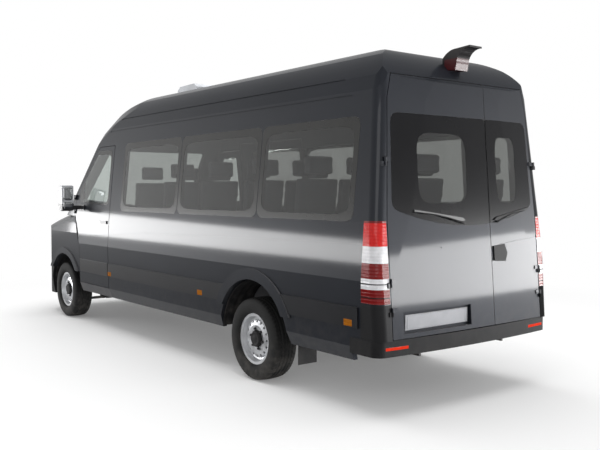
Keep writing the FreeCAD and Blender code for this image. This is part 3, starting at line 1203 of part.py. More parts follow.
slide_seams = fuse("slide_seams", block("seam_front", "door_rear_x - rear_gap - 46",
                                        "door_rear_x - rear_gap - 46 + shut_gap", "-1100", "-500",
                                        "300", "2300"),
                   block("seam_rear", "-slide_rear_x - shut_gap", "-slide_rear_x", "-1100", "-500", "300",
                         "2300"))
strip_right = less("strip_right", mirror("strip_right_raw", strip_left), slide_seams)
node("side_mouldings", group("side_mouldings", strip_left, strip_right))
marker_inside = common("marker_inside", layer, group("marker_cut", *marker_spots))
lamp_left = less("lamp_left", tail_left, leaf_rooms, post_rooms)
node("tail_and_marker_lamps", group("tail_and_marker_lamps", lamp_left, mirror("lamp_right", lamp_left),
                                    marker_inside,
                                    mirror("marker_right", marker_inside), reflector, reflector_right))
flap_left = block("flap_left", "-2392", "-2384", "690", "878", "215", under + " - seat_gap")
node("mud_flaps", group("mud_flaps", flap_left, mirror("flap_right", flap_left)))
door_strip = common("door_strip", layer, prism("door_strip_zone", "XZ", [
    ("door_rear_x + 4", "strip_low_z"), ("door_front_x - 30", "strip_low_z"),
    ("door_front_x - 30", "strip_top_z"),
    ("door_rear_x + 4", "strip_top_z")], "700", "1100"))
handle = common("handle", layer, block("handle_zone", "1150", "1350", "700", "1100", "1245", "1280"))
mirror_head = prism("mirror_head", "XZ", [
    ("1902", "1400"), ("1908", "1690"), ("1960", "1700"), ("2022", "1640"), ("2022", "1440"),
                                          ("1960", "1384")],
    "1068", "mirror_out_y")
mirror_arm = block("mirror_arm", "1925", "1980", "door_hinge_y - 10", "1076", "1405", "1450")
mirror_foot = common("mirror_foot", layer, block("mirror_foot_zone", "1830", "2000", "700", "1100", "1395",
                                                 "1458"))
mirror_unit = fuse("mirror_unit", less("mirror_arm_trim", fuse("mirror_arm_head", mirror_head, mirror_arm),
                                       over_skin), mirror_foot)
fittings = group("fittings", door_strip, handle, mirror_unit)
node("door_fittings_left", fittings)
node("door_fittings_right", mirror("door_fittings_right", fittings))
vent_body = doc.addObject("PartDesign::Body", "vent_body")
vent_sketch = body_sketch(vent_body, "vent_side", "XZ_Plane")
draw(vent_sketch, [("380", "crown_z - 60"), ("820", "crown_z - 60"), ("820", "crown_z + 20"),
                   ("760", "crown_z + 62"),
                   ("440", "crown_z + 68"), ("380", "crown_z + 30")])
vent_pad = vent_body.newObject("PartDesign::Pad", "vent_pad")
vent_pad.Profile = vent_sketch
vent_pad.Length = 420
tie(vent_body, "Placement.Base.y", "210")
node("roof_vent", less("roof_vent", vent_body, over_skin))
pod = prism("pod_form", "XZ", [
    ("-3180", "2560"), ("-3180", "2650"), ("-3240", "2696", "bend"), ("-3316", "2712"), ("-3450", "2720"),
    ("-3450", "2706"), ("-3352", "2674", "bend"), ("-3322", "2600"), ("-3310", "2550")], "-70", "70")
node("brake_lamp_pod", less("brake_lamp_pod", pod, over_skin))
front_arms = prism("front_arms", "YZ", [
    ("-560", "1350"), ("-540", "1350"), ("-330", "1395"), ("60", "1402"), ("60", "1418"), ("-340", "1416")],
                   "1900", "2760")
front_arms_two = prism("front_arms_two", "YZ", [
    ("110", "1350"), ("130", "1350"), ("330", "1395"), ("700", "1402"), ("700", "1418"), ("320", "1416")],
                       "1900", "2760")
node("front_wipers", common("front_wipers", layer,
                            fuse("front_wiper_zone", front_arms, front_arms_two)))
wiper_left = common("wiper_left", layer, prism("wiper_left_zone", "YZ", [
    ("60", "1400"), ("90", "1395"), ("600", "1470"), ("600", "1488"), ("90", "1420")], "-3700", "-3180"))
plate = block("plate", "-3441", "-3432 - seat_gap", "60", "726", "628", "738")
plate = common("rear_plate_clear", plate, outer)
node("rear_fittings_left", group("rear_fittings_left", wiper_left, plate))
wiper_right = common("wiper_right", layer, prism("wiper_right_zone", "YZ", [
    ("-280", "1394"), ("-320", "1389"), ("-740", "1470"), ("-740", "1488"), ("-320", "1418")], "-3700",
                                                       "-3180"))
lock = common("lock", layer, prism("lock_zone", "YZ", [
    ("-262", "1075"), ("-262", "1190"), ("-400", "1200"), ("-430", "1130"), ("-400", "1065")], "-3700",
                                         "-3180"))
node("rear_fittings_right", group("rear_fittings_right", wiper_right, lock))


# Wheels: pressed steel rims with a ring of holes, and hollow tyres with round shoulders
def place_wheel(x, side, height="tyre_radius"):
    turn = FreeCAD.Rotation(FreeCAD.Vector(1, 0, 0), -90 * side)
    return FreeCAD.Placement(FreeCAD.Vector(value(x), side * value(wheel_y), value(height)), turn)


def rim(name, place):
    """A rim turned about its own axis, outer face up, with its holes and hub bore."""
    lip = "(rim_radius + rim_lip)"
    wide = "(rim_width / 2)"
    body, spin = turned(name + "_body", [
        ("rim_radius - rim_skin", "-" + wide), (lip, "-" + wide), (lip, "8 - " + wide),
                                         ("rim_radius", "14 - " + wide),
        ("rim_radius - 13", "30 - " + wide), ("rim_radius - 13", "20"), ("rim_radius", wide + " - 14"),
        (lip, wide + " - 8"), (lip, wide), ("rim_radius - rim_skin", wide),
        ("rim_radius - rim_skin - 6", wide + " - 18"), ("rim_radius - rim_skin - 14", "48"),
        ("rim_radius - 38", "44"), ("rim_hole_circle + 8", "60"), ("116", "72"), ("98", "hub_face + 2"),
        ("hub_radius", "hub_face + 2"), ("hub_bore", "hub_face + 6"), ("hub_bore", "hub_face + 26"),
        ("hub_bore - 12", "hub_face + 32"), ("0", "hub_face + 32"), ("0", "hub_face + 4"),
        ("stub_radius + bearing_gap", "hub_face + 4"), ("stub_radius + bearing_gap", "0"),
                                         ("hub_radius", "0"),
        ("hub_radius", "hub_face - 8"), ("100", "hub_face - 8"), ("118", "62"), ("rim_hole_circle + 8", "50"),
        ("rim_radius - 40", "35"), ("rim_radius - 13 - rim_skin", "30"),
                                         ("rim_radius - 13 - rim_skin", "34 - " + wide)],
        place)
    doc.recompute()
    sketch = body_sketch(body, name + "_hole_mark", "XY_Plane")
    circle = sketch.addGeometry(Part.Circle(FreeCAD.Vector(value("rim_hole_circle"), 0, 0),
                                            FreeCAD.Vector(0, 0, 1),
                                            value("rim_hole_radius")), False)
    sketch.addConstraint([Sketcher.Constraint("Radius", circle, value("rim_hole_radius")),
                          Sketcher.Constraint("DistanceX", -1, 1, circle, 3, value("rim_hole_circle")),
                          Sketcher.Constraint("PointOnObject", circle, 3, -1)])
    sketch.setExpression("Constraints[0]", bound("rim_hole_radius"))
    sketch.setExpression("Constraints[1]", bound("rim_hole_circle"))
    cut = body.newObject("PartDesign::Pocket", name + "_hole")
    cut.Profile = sketch
    cut.Length = 200
    cut.Reversed = True
    doc.recompute()
    ring_cut = body.newObject("PartDesign::PolarPattern", name + "_holes")
    ring_cut.Originals = [cut]
    ring_cut.Axis = (sketch, ["N_Axis"])
    ring_cut.Angle = 360
    tie(ring_cut, "Occurrences", "rim_holes")
    body.Tip = ring_cut
    return body


def tyre(name, place):
    """A hollow tyre turned about its own axis."""
    half_wide = "(tyre_width / 2)"
    middle = "(rim_radius + 0.5 * (tyre_radius - rim_radius))"
    side = [("tyre_radius", "40"), ("tyre_radius - 4", half_wide + " - 30"),
            ("tyre_radius - 18", half_wide + " - 10"),
            (middle, half_wide), ("rim_radius + rim_lip + 1", "rim_width / 2 + seat_gap"),
            ("rim_radius + rim_lip + seat_gap", "rim_width / 2 - 8 - seat_gap"),
            ("rim_radius + seat_gap", "rim_width / 2 - 15"), ("rim_radius + seat_gap", "rim_width / 2 - 30"),
            ("rim_radius + 26", "rim_width / 2 - 16"), (middle, half_wide + " - tyre_wall"),
            ("tyre_radius - 20", half_wide + " - 34")]
    body, spin = turned(name + "_body", side + [(radius, "-(%s)" % across) for radius,
                                                across in reversed(side)], place)
    return body


for corner, x, side in (("front_left", front_axle, 1), ("front_right", front_axle, -1),
                        ("rear_left", rear_axle, 1), ("rear_right", rear_axle, -1)):
    node("rim_" + corner, rim("rim_" + corner, place_wheel(x, side)))
    node("tyre_" + corner, tyre("tyre_" + corner, place_wheel(x, side)))

doc.recompute()
bad = [thing.Name for thing in doc.Objects if "Invalid" in thing.State or "Error" in thing.State]
if bad:
    raise SystemExit("failed: %s" % bad)
for thing in nodes:
    if thing.Shape.isNull() or not thing.Shape.isValid():
        raise SystemExit("bad shape: %s" % thing.Label)
os.makedirs("parts", exist_ok=True)
for thing in nodes:
    thing.Shape.exportStep("parts/%s.step" % thing.Label)
    print(thing.Label, len(thing.Shape.Solids), round(thing.Shape.Volume / 1e6, 2), thing.Shape.BoundBox)
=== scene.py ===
# %% [markdown]
# # Dressing a long high-roof minibus
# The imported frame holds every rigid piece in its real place, in metres: +X forward, +Y left, +Z up.
# This lesson keeps that frame, gives each piece a finish made of nodes, and adds what a solid model
# leaves out: tyre tread, wheel nuts, padded seats, the printed borders of the panes, mirror glass,
# wiper arms, arch liners and instruments.

# %% Load the frame
import json
import math
import bmesh
import bpy
import numpy as np
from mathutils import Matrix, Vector
from mathutils.bvhtree import BVHTree

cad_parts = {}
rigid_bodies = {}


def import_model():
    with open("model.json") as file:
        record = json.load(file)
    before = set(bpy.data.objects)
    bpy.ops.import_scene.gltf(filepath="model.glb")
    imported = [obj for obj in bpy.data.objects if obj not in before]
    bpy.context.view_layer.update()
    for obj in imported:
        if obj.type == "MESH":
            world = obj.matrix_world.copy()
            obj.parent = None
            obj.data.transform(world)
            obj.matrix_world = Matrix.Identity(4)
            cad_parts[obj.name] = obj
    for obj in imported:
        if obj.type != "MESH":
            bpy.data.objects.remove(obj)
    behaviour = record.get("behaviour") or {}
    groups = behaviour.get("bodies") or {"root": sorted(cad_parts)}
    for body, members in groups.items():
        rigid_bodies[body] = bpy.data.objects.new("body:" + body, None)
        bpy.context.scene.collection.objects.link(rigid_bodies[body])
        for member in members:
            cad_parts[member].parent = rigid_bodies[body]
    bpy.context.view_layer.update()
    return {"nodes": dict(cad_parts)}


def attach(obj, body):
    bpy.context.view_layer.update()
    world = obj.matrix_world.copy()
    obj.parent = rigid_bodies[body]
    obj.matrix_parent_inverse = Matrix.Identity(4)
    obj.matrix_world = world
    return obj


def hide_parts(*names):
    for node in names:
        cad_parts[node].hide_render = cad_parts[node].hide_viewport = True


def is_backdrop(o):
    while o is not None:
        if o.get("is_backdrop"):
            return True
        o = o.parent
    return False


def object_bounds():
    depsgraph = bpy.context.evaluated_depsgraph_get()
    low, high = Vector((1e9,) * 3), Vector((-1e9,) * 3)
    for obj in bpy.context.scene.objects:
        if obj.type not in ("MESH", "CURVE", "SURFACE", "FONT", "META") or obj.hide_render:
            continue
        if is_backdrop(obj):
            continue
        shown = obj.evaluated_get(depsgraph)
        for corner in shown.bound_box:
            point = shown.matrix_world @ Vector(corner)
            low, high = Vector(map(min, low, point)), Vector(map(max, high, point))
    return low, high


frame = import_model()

nodes = frame["nodes"]

# %% [markdown]
# ## The camera
# The photograph was taken from behind the left rear corner, a little above the windows' lower edge.
# The place, the turn and the lens were solved from the wheels, the window band and the body's edges.

# %% Place the camera
def show(thing):
    """Put a new object into the scene."""
    bpy.context.scene.collection.objects.link(thing)
    return thing


EYE = Vector((-7.293, 4.637, 1.610))
TURN = math.radians(-37.59)
DROP = math.radians(-2.41)
FOCAL_PIXELS, PICTURE_PIXELS, SENSOR = 769.7, 600, 36.0
aim = Vector((math.cos(TURN) * math.cos(DROP), math.sin(TURN) * math.cos(DROP), math.sin(DROP)))
lens = bpy.data.cameras.new("view")
lens.sensor_width = SENSOR
lens.lens = FOCAL_PIXELS / PICTURE_PIXELS * SENSOR
lens.clip_end = 200
camera = bpy.data.objects.new("view", lens)
camera.location = EYE
camera.rotation_euler = aim.to_track_quat("-Z", "Y").to_euler()
show(camera)
bpy.context.scene.camera = camera
print("lens", round(lens.lens, 2), "mm")

# %% [markdown]
# ## Meshes from arrays
# Every new piece is a grid of points worked out by numpy. One helper turns a grid of rows and columns
# into faces and can join any number of copies, and another sweeps a round outline along a path. Points
# that meet are merged and the normals are worked out again, so that each closed form faces outwards.

# %% From a grid to a mesh object
def faces_of(rows, columns, wrap_rows, wrap_columns, offset):
    """Four-cornered faces of a grid: point (i, j) is number i * columns + j, and a wrapped side closes."""
    i, j = np.meshgrid(np.arange(rows if wrap_rows else rows - 1),
                       np.arange(columns if wrap_columns else columns - 1), indexing="ij")
    below, beside = (i + 1) % rows * columns, (j + 1) % columns
    corners = (i * columns + j, below + j, below + beside, i * columns + beside)
    return np.stack(corners, -1).reshape(-1, 4) + offset


def piece(name, points, faces, body, finish, smooth=True):
    """A mesh object from an array of points and an array of faces, finished and riding on a body."""
    mesh = bpy.data.meshes.new(name)
    mesh.from_pydata(points, [], faces)
    mesh.polygons.foreach_set("use_smooth", np.full(len(faces), smooth))
    work = bmesh.new()
    work.from_mesh(mesh)
    bmesh.ops.remove_doubles(work, verts=work.verts, dist=1e-6)
    bmesh.ops.recalc_face_normals(work, faces=work.faces)
    work.to_mesh(mesh)
    work.free()
    mesh.materials.append(finish)
    thing = show(bpy.data.objects.new(name, mesh))
    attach(thing, body)
    return thing


def grid_piece(name, grids, body, finish, wrap_rows=False, wrap_columns=True, smooth=True):
    """One object from a list of equal grids, each an array of rows x columns x 3."""
    stack = np.asarray(grids, dtype=float)
    if stack.ndim == 3:
        stack = stack[None]
    copies, rows, columns, _ = stack.shape
    faces = np.concatenate([faces_of(rows, columns, wrap_rows, wrap_columns, k * rows * columns)
                            for k in range(copies)])
    return piece(name, stack.reshape(-1, 3), faces, body, finish, smooth)


def array_of(items, label, width, kind=float):
    """What a mesh stores for its points or faces, read at once as rows of numbers."""
    values = np.empty(len(items) * width, dtype=kind)
    items.foreach_get(label, values)
    return values.reshape(-1, width)


print("grid helpers ready")

# %% A tube along a path
def full_turn(count):
    """Equal steps round a full turn."""
    return np.linspace(0, 2 * np.pi, count, endpoint=False)


def tube(path, radius, sides=12):
    """A grid round an open path: at each point, a ring of the given radius square to the path."""
    path = np.asarray(path, dtype=float)
    ahead = np.roll(path, -1, 0) - np.roll(path, 1, 0)
    ahead[0], ahead[-1] = path[1] - path[0], path[-1] - path[-2]
    ahead /= np.linalg.norm(ahead, axis=1)[:, None]
    guess = np.where(np.abs(ahead[:, 2:3]) > 0.9, [[1.0, 0, 0]], [[0, 0, 1.0]])
    side = np.cross(ahead, guess)
    side /= np.linalg.norm(side, axis=1)[:, None]
    up = np.cross(side, ahead)
    turn = full_turn(sides)
    ring = np.cos(turn)[None, :, None] * side[:, None] + np.sin(turn)[None, :, None] * up[:, None]
    return path[:, None] + np.asarray(radius).reshape(-1, 1, 1) * ring


print("a straight tube has", tube([(0, 0, 0), (1, 0, 0)], 0.01).shape, "points")

# %% [markdown]
# ## Working with nodes
# A finish is a small network of nodes. These helpers add the usual ones in one line each, and an input
# takes either a plain value or the output of another node.

# %% Inputs and outputs
def material(name):
    """A new material with its Principled shader."""
    made = bpy.data.materials.new(name)
    made.use_nodes = True
    return made, made.node_tree, made.node_tree.nodes["Principled BSDF"]


def link(tree, value, socket):
    """Give an input its value: the output of another node, or a plain number or colour."""
    if hasattr(value, "links"):
        tree.links.new(value, socket)
    else:
        socket.default_value = value


def settle(node, values):
    """Set several inputs of a node to plain values."""
    for label, value in values.items():
        node.inputs[label].default_value = value


print("input helpers ready")

# %% Usual nodes
def vector_node(tree, kind, *values, node="ShaderNodeVectorMath"):
    """The outputs of a Vector Math node on vectors, each a plain value or a socket."""
    made = tree.nodes.new(node)
    made.operation = kind
    for k, value in enumerate(values):
        link(tree, value, made.inputs[k])
    return made.outputs


def math_node(tree, kind, *values):
    """The output of a Math node on numbers or sockets."""
    return vector_node(tree, kind, *values, node="ShaderNodeMath")[0]


def times(tree, first, second):
    """The product of two numbers or sockets."""
    return math_node(tree, "MULTIPLY", first, second)


def smoothly(tree, value, low, high, least=0.0, most=1.0):
    """The least below low, the most above high, smooth between."""
    made = tree.nodes.new("ShaderNodeMapRange")
    made.interpolation_type = "SMOOTHSTEP"
    settle(made, {"To Min": least, "To Max": most})
    for label, number in (("Value", value), ("From Min", low), ("From Max", high)):
        link(tree, number, made.inputs[label])
    return made.outputs["Result"]


def place_of(tree):
    """Object coordinates of the shaded point."""
    return tree.nodes.new("ShaderNodeTexCoord").outputs["Object"]


def axes_of(tree, vector=None):
    """The X, Y and Z outputs of a vector, or of the shaded point's place."""
    made = tree.nodes.new("ShaderNodeSeparateXYZ")
    link(tree, place_of(tree) if vector is None else vector, made.inputs[0])
    return made.outputs


def seen_ray(tree):
    """One for camera, glossy and transmission rays, which are those that show a background."""
    path = tree.nodes.new("ShaderNodeLightPath").outputs
    seen = math_node(tree, "MAXIMUM", path["Is Camera Ray"], path["Is Glossy Ray"])
    return math_node(tree, "MAXIMUM", seen, path["Is Transmission Ray"])


print("node helpers ready")

# %% [markdown]
# ## The studio
# A pale floor takes the vehicle's soft shadow and turns into a plain white backdrop farther out. Above
# are a large soft lamp and a sky that is white to the eye and weaker as a light. Low in the sky the
# paint mirrors white, and less so above.

# %% Floor
def stage_sheet(name, low, high, z, finish):
    """A flat rectangle between two corners, which belongs to the studio and not to the vehicle."""
    mesh = bpy.data.meshes.new(name)
    corners = [(low[0], low[1], z), (high[0], low[1], z), (high[0], high[1], z), (low[0], high[1], z)]
    mesh.from_pydata(corners, [], [(0, 1, 2, 3)])
    mesh.materials.append(finish)
    made = show(bpy.data.objects.new(name, mesh))
    made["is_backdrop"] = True
    return made


floor_finish, tree, shader = material("pale_floor")
settle(shader, {"Base Color": (0.90, 0.90, 0.90, 1), "Roughness": 0.9, "Specular IOR Level": 0.0})
away = vector_node(tree, "LENGTH", place_of(tree))["Value"]
far = smoothly(tree, away, 3.6, 7.5, 0.12)
backdrop = tree.nodes.new("ShaderNodeEmission")
settle(backdrop, {"Color": (1, 1, 1, 1)})
blend = tree.nodes.new("ShaderNodeMixShader")
link(tree, times(tree, far, seen_ray(tree)), blend.inputs["Fac"])
link(tree, shader.outputs["BSDF"], blend.inputs[1])
link(tree, backdrop.outputs["Emission"], blend.inputs[2])
link(tree, blend.outputs["Shader"], tree.nodes["Material Output"].inputs["Surface"])
floor = stage_sheet("floor", (-40, -40), (40, 40), -0.0008, floor_finish)
print("floor", [round(v) for v in floor.dimensions])

# %% Sky
world = bpy.data.worlds.new("studio")
bpy.context.scene.world = world
world.use_nodes = True
sky = world.node_tree
plain = sky.nodes["Background"]
settle(plain, {"Color": (1, 1, 1, 1)})
heading = sky.nodes.new("ShaderNodeTexCoord").outputs["Generated"]
high_up = smoothly(sky, axes_of(sky, heading)["Z"], 0.10, 0.55, 0.0, 0.5)
dimmed = times(sky, high_up, sky.nodes.new("ShaderNodeLightPath").outputs["Is Glossy Ray"])
strength = math_node(sky, "MULTIPLY_ADD", seen_ray(sky), 0.45, 0.55)
link(sky, math_node(sky, "SUBTRACT", strength, dimmed), plain.inputs["Strength"])
bpy.context.scene.view_settings.view_transform = "Standard"
print("sky", world.name)

# %% [markdown]
# ## Lamps and dark cloths
# One lamp hangs overhead, one stands behind the camera, and two are long low strips, whose reflections
# draw the bright bands below the windows and on the rear doors. Two dark cloths lie on the floor out
# of view, as in a car studio, so that the lower body reflects something dark. Only reflections see them.

# %% Lamps
def lamp(name, place, target, size, watts):
    """A soft rectangular lamp that faces a point and stays out of the camera's sight."""
    light = bpy.data.lights.new(name, "AREA")
    light.shape = "RECTANGLE"
    light.size, light.size_y = size
    light.energy = watts
    made = bpy.data.objects.new(name, light)
    made.location = place
    made.rotation_euler = (Vector(target) - Vector(place)).to_track_quat("-Z", "Y").to_euler()
    made.visible_camera = False
    return show(made)


overhead = lamp("overhead", (0, 0, 7.5), (0, 0, 0), (12, 8), 640)
overhead.visible_glossy = False
lamp("behind_camera", (-9.5, 8.5, 4.5), (-1, 0, 1.2), (5, 3), 150)
lamp("low_strip", (11.5, 9.2, 1.40), (0, 0.9, 1.2), (9, 0.66), 480)
rear_strip = lamp("rear_strip", (-11.4, -8.6, 1.08), (-3.4, 0.3, 1.2), (15, 1.3), 1700)
print("lamps", len(bpy.data.lights))

# %% Dark cloths
dark_cloth, tree, shader = material("dark_cloth")
settle(shader, {"Base Color": (0.02, 0.02, 0.022, 1), "Roughness": 1.0, "Specular IOR Level": 0.0})
for name, low, high in (("flag_left", (-9, 1.7), (18, 18)), ("flag_rear", (-18, -18), (-3.9, 1.7))):
    flag = stage_sheet(name, low, high, 0.002, dark_cloth)
    flag.visible_camera = flag.visible_diffuse = flag.visible_transmission = flag.visible_shadow = False
    print(name, [round(v, 1) for v in flag.dimensions])

# %% [markdown]
# ## Effects shared by several finishes
# Uneven tint, road dust, fine grain and weave are node groups with named inputs. Each puts out only a
# colour, a mask, a height or a normal, and the shader itself stays in each material.

# %% Helpers for node groups
def effect(name, takes, gives):
    """An empty node group with its named sockets; returns the tree, its input and its output node."""
    made = bpy.data.node_groups.new(name, "ShaderNodeTree")
    for label, kind, value in takes:
        socket = made.interface.new_socket(label, in_out="INPUT", socket_type="NodeSocket" + kind)
        socket.default_value = value
    for label, kind in gives:
        made.interface.new_socket(label, in_out="OUTPUT", socket_type="NodeSocket" + kind)
    return made, made.nodes.new("NodeGroupInput"), made.nodes.new("NodeGroupOutput")


def noise(tree, scale, detail):
    """A noise texture; the scale is a number or a socket."""
    made = tree.nodes.new("ShaderNodeTexNoise")
    settle(made, {"Detail": detail})
    link(tree, scale, made.inputs["Scale"])
    link(tree, place_of(tree), made.inputs["Vector"])
    return made.outputs["Fac"]


def mixed(tree, factor, first, second):
    """A colour between two; each of the three is a value or a socket."""
    made = tree.nodes.new("ShaderNodeMix")
    made.data_type = "RGBA"
    for number, value in ((0, factor), (6, first), (7, second)):
        link(tree, value, made.inputs[number])
    return made.outputs[2]


def tint_with(tree, shader, colour, amount, scale):
    """Give a shader a colour that is a little darker in patches."""
    cloudy = use(tree, uneven, Color=colour, Amount=amount, Scale=scale)
    link(tree, cloudy.outputs["Color"], shader.inputs["Base Color"])


def bumped(tree, height, strength, distance):
    """The normal of a Bump node on a height; the strength is a number or a socket."""
    made = tree.nodes.new("ShaderNodeBump")
    settle(made, {"Distance": distance})
    link(tree, height, made.inputs["Height"])
    link(tree, strength, made.inputs["Strength"])
    return made.outputs[0]


def use(tree, group_tree, **values):
    """Put an effect into a material; a value is a number, a colour or a socket."""
    made = tree.nodes.new("ShaderNodeGroup")
    made.node_tree = group_tree
    for label, value in values.items():
        link(tree, value, made.inputs[label])
    return made


print("effect helpers ready")

# %% Uneven tint and road dust
uneven, start, end = effect("Uneven tint", [("Color", "Color", (0.5, 0.5, 0.5, 1)),
                                            ("Amount", "Float", 0.2), ("Scale", "Float", 4.0)],
                            [("Color", "Color")])
patch = smoothly(uneven, noise(uneven, start.outputs["Scale"], 4.0), 0.3, 0.7)
dark = mixed(uneven, start.outputs["Amount"], start.outputs["Color"], (0, 0, 0, 1))
link(uneven, mixed(uneven, patch, dark, start.outputs["Color"]), end.inputs["Color"])

dusty, start, end = effect("Road dust", [("Color", "Color", (0.5, 0.5, 0.5, 1)),
                                         ("Dust", "Color", (0.22, 0.2, 0.18, 1)),
                                         ("Height", "Float", 0.9), ("Amount", "Float", 0.3)],
                           [("Color", "Color"), ("Mask", "Float")])
fall = smoothly(dusty, axes_of(dusty)["Z"], start.outputs["Height"], 0.05)
speck = smoothly(dusty, noise(dusty, 14.0, 6.0), 0.35, 0.75)
mask = times(dusty, times(dusty, fall, speck), start.outputs["Amount"])
link(dusty, mask, end.inputs["Mask"])
link(dusty, mixed(dusty, mask, start.outputs["Color"], start.outputs["Dust"]), end.inputs["Color"])
print("effects", len(bpy.data.node_groups))

# %% Fine grain and woven cloth
grain, start, end = effect("Fine grain", [("Scale", "Float", 400.0), ("Depth", "Float", 0.1)],
                           [("Normal", "Vector")])
roughness = noise(grain, start.outputs["Scale"], 2.0)
link(grain, bumped(grain, roughness, start.outputs["Depth"], 0.002), end.inputs["Normal"])

weave, start, end = effect("Woven cloth", [("Color", "Color", (0.1, 0.1, 0.12, 1)),
                                           ("Thread", "Color", (0.2, 0.2, 0.24, 1)),
                                           ("Scale", "Float", 260.0)],
                           [("Color", "Color"), ("Height", "Float")])
across = axes_of(weave)
wave_x, wave_y, wave_z = (math_node(weave, "SINE", times(weave, across[axis], start.outputs["Scale"]))
                          for axis in "XYZ")
height = times(weave, math_node(weave, "ADD", wave_x, wave_z), math_node(weave, "ADD", wave_y, wave_z))
link(weave, height, end.inputs["Height"])
# Painted shade: the colour is darker in the hollows between threads and lighter on the thread tops.
thread_tops_over_painted_shade = smoothly(weave, height, -1.0, 1.5)
link(weave, mixed(weave, thread_tops_over_painted_shade, start.outputs["Color"], start.outputs["Thread"]), end.inputs["Color"])
print("effects", len(bpy.data.node_groups))

# %% [markdown]
# ## Paint
# The body is a dark grey metallic. Its flakes are tiny cells of slightly lighter tint, a clear coat
# lies on top, and road dust greys the sills. The same sheet metal is trimmed inside, so a mask picks
# the faces that look towards the middle of the cabin and gives them a dull grey lining.

# %% Where the paint gives way to lining or to plastic
CABIN_MIDDLE = (0, 0, 1.45)
REAR_DOOR_X = -3.0


def inside_mask(tree):
    """One where a face looks to the cabin's middle line, or forwards at the rear doors, else zero."""
    spot = tree.nodes.new("ShaderNodeTexCoord").outputs
    away = vector_node(tree, "SUBTRACT", spot["Object"], CABIN_MIDDLE)[0]
    flat = vector_node(tree, "MULTIPLY", away, (0, 1, 1))[0]
    facing = vector_node(tree, "DOT_PRODUCT", spot["Normal"], flat)["Value"]
    sideways = math_node(tree, "LESS_THAN", facing, -0.12)
    forwards = math_node(tree, "GREATER_THAN", axes_of(tree, spot["Normal"])["X"], 0.5)
    at_rear = math_node(tree, "LESS_THAN", axes_of(tree, spot["Object"])["X"], REAR_DOOR_X)
    return math_node(tree, "MAXIMUM", sideways, times(tree, forwards, at_rear))


def corner_mask(tree, corner):
    """One behind the corner's X and below its Z, else zero; plain zero without a corner."""
    if not corner:
        return 0.0
    parts = axes_of(tree)
    return times(tree, math_node(tree, "LESS_THAN", parts["X"], corner[0]),
                 math_node(tree, "LESS_THAN", parts["Z"], corner[1]))


print("cabin middle at", CABIN_MIDDLE)

# %% Body paint
DARK_METALLIC = (0.0115, 0.013, 0.017, 1)
LINING = (0.11, 0.11, 0.115, 1)
CORNER_PLASTIC = (0.016, 0.016, 0.017, 1)


def body_paint(name, corner=None):
    """Metallic paint under a clear coat, grey lining inside and, below a corner, bare black plastic."""
    made, tree, shader = material(name)
    cells = tree.nodes.new("ShaderNodeTexVoronoi")
    settle(cells, {"Scale": 900})
    link(tree, place_of(tree), cells.inputs["Vector"])
    bright = tuple(c * 1.7 for c in DARK_METALLIC[:3]) + (1,)
    flaked = mixed(tree, smoothly(tree, cells.outputs["Distance"], 0.1, 0.9), bright, DARK_METALLIC)
    cloudy = use(tree, uneven, Color=flaked, Amount=0.12, Scale=1.6)
    road = use(tree, dusty, Color=cloudy.outputs["Color"], Height=0.95, Amount=0.10)
    inside, plastic = inside_mask(tree), corner_mask(tree, corner)
    lined = mixed(tree, inside, road.outputs["Color"], LINING)
    link(tree, mixed(tree, plastic, lined, CORNER_PLASTIC), shader.inputs["Base Color"])
    dull = math_node(tree, "MULTIPLY_ADD", road.outputs["Mask"], 0.4, 0.42)
    rough = math_node(tree, "MULTIPLY_ADD", inside, 0.3, dull)
    link(tree, rough, shader.inputs["Roughness"])
    coated = math_node(tree, "SUBTRACT", 1.0, math_node(tree, "MAXIMUM", inside, plastic))
    link(tree, times(tree, coated, 0.24), shader.inputs["Coat Weight"])
    settle(shader, {"Metallic": 0.25, "Specular IOR Level": 0.12, "Coat Roughness": 0.06})
    return made


paint = body_paint("dark_metallic_paint")
side_paint = body_paint("side_paint_and_corner", corner=(-3.245, 0.822))
print("paint", paint.name, side_paint.name)

# %% [markdown]
# ## Glass, plastics, rubber and metals
# Tinted glass is a plain transmitting shader. Grained plastics share one recipe with different values.

# %% Glass and plastics
def glass(name, tint):
    """Tinted glass under a thin film of dust."""
    made, tree, shader = material(name)
    film = use(tree, dusty, Color=tint, Height=2.4, Amount=0.03)
    link(tree, film.outputs["Color"], shader.inputs["Base Color"])
    settle(shader, {"Roughness": 0.0, "IOR": 1.45, "Transmission Weight": 1.0})
    return made


def skinned(tree, shader, tint, cloud, dust, height, scale, depth):
    """Give a shader uneven tint, road dust from below, and grain; returns the mask of the dust."""
    cloudy = use(tree, uneven, Color=tint, Amount=0.18, Scale=cloud)
    road = use(tree, dusty, Color=cloudy.outputs["Color"], Height=height, Amount=dust)
    link(tree, road.outputs["Color"], shader.inputs["Base Color"])
    link(tree, use(tree, grain, Scale=scale, Depth=depth).outputs["Normal"], shader.inputs["Normal"])
    return road.outputs["Mask"]


def plain_finish(name, tint, rough, metal=0.0, scale=420.0, depth=0.12, dust=0.25, height=0.8, gloss=0.5):
    """A plastic, a rubber or a metal of one tint, a little duller where dust lies."""
    made, tree, shader = material(name)
    lying = skinned(tree, shader, tint, 5.0, dust, height, scale, depth)
    link(tree, math_node(tree, "MULTIPLY_ADD", lying, 0.3, rough), shader.inputs["Roughness"])
    settle(shader, {"Metallic": metal, "Specular IOR Level": gloss})
    return made


def two_tone(name, main, other, low, high, rough, depth):
    """Two plastics in one node: the other colour between two corners, worked out from the place."""
    made, tree, shader = material(name)
    parts = axes_of(tree)
    mask = 1.0
    for kind, limits in (("GREATER_THAN", low), ("LESS_THAN", high)):
        for axis, limit in zip("XYZ", limits):
            if limit is not None:
                mask = times(tree, mask, math_node(tree, kind, parts[axis], limit))
    skinned(tree, shader, mixed(tree, mask, main, other), 7.0, 0.15, 0.8, 420.0, depth)
    settle(shader, {"Roughness": rough})
    return made


print("recipes ready")

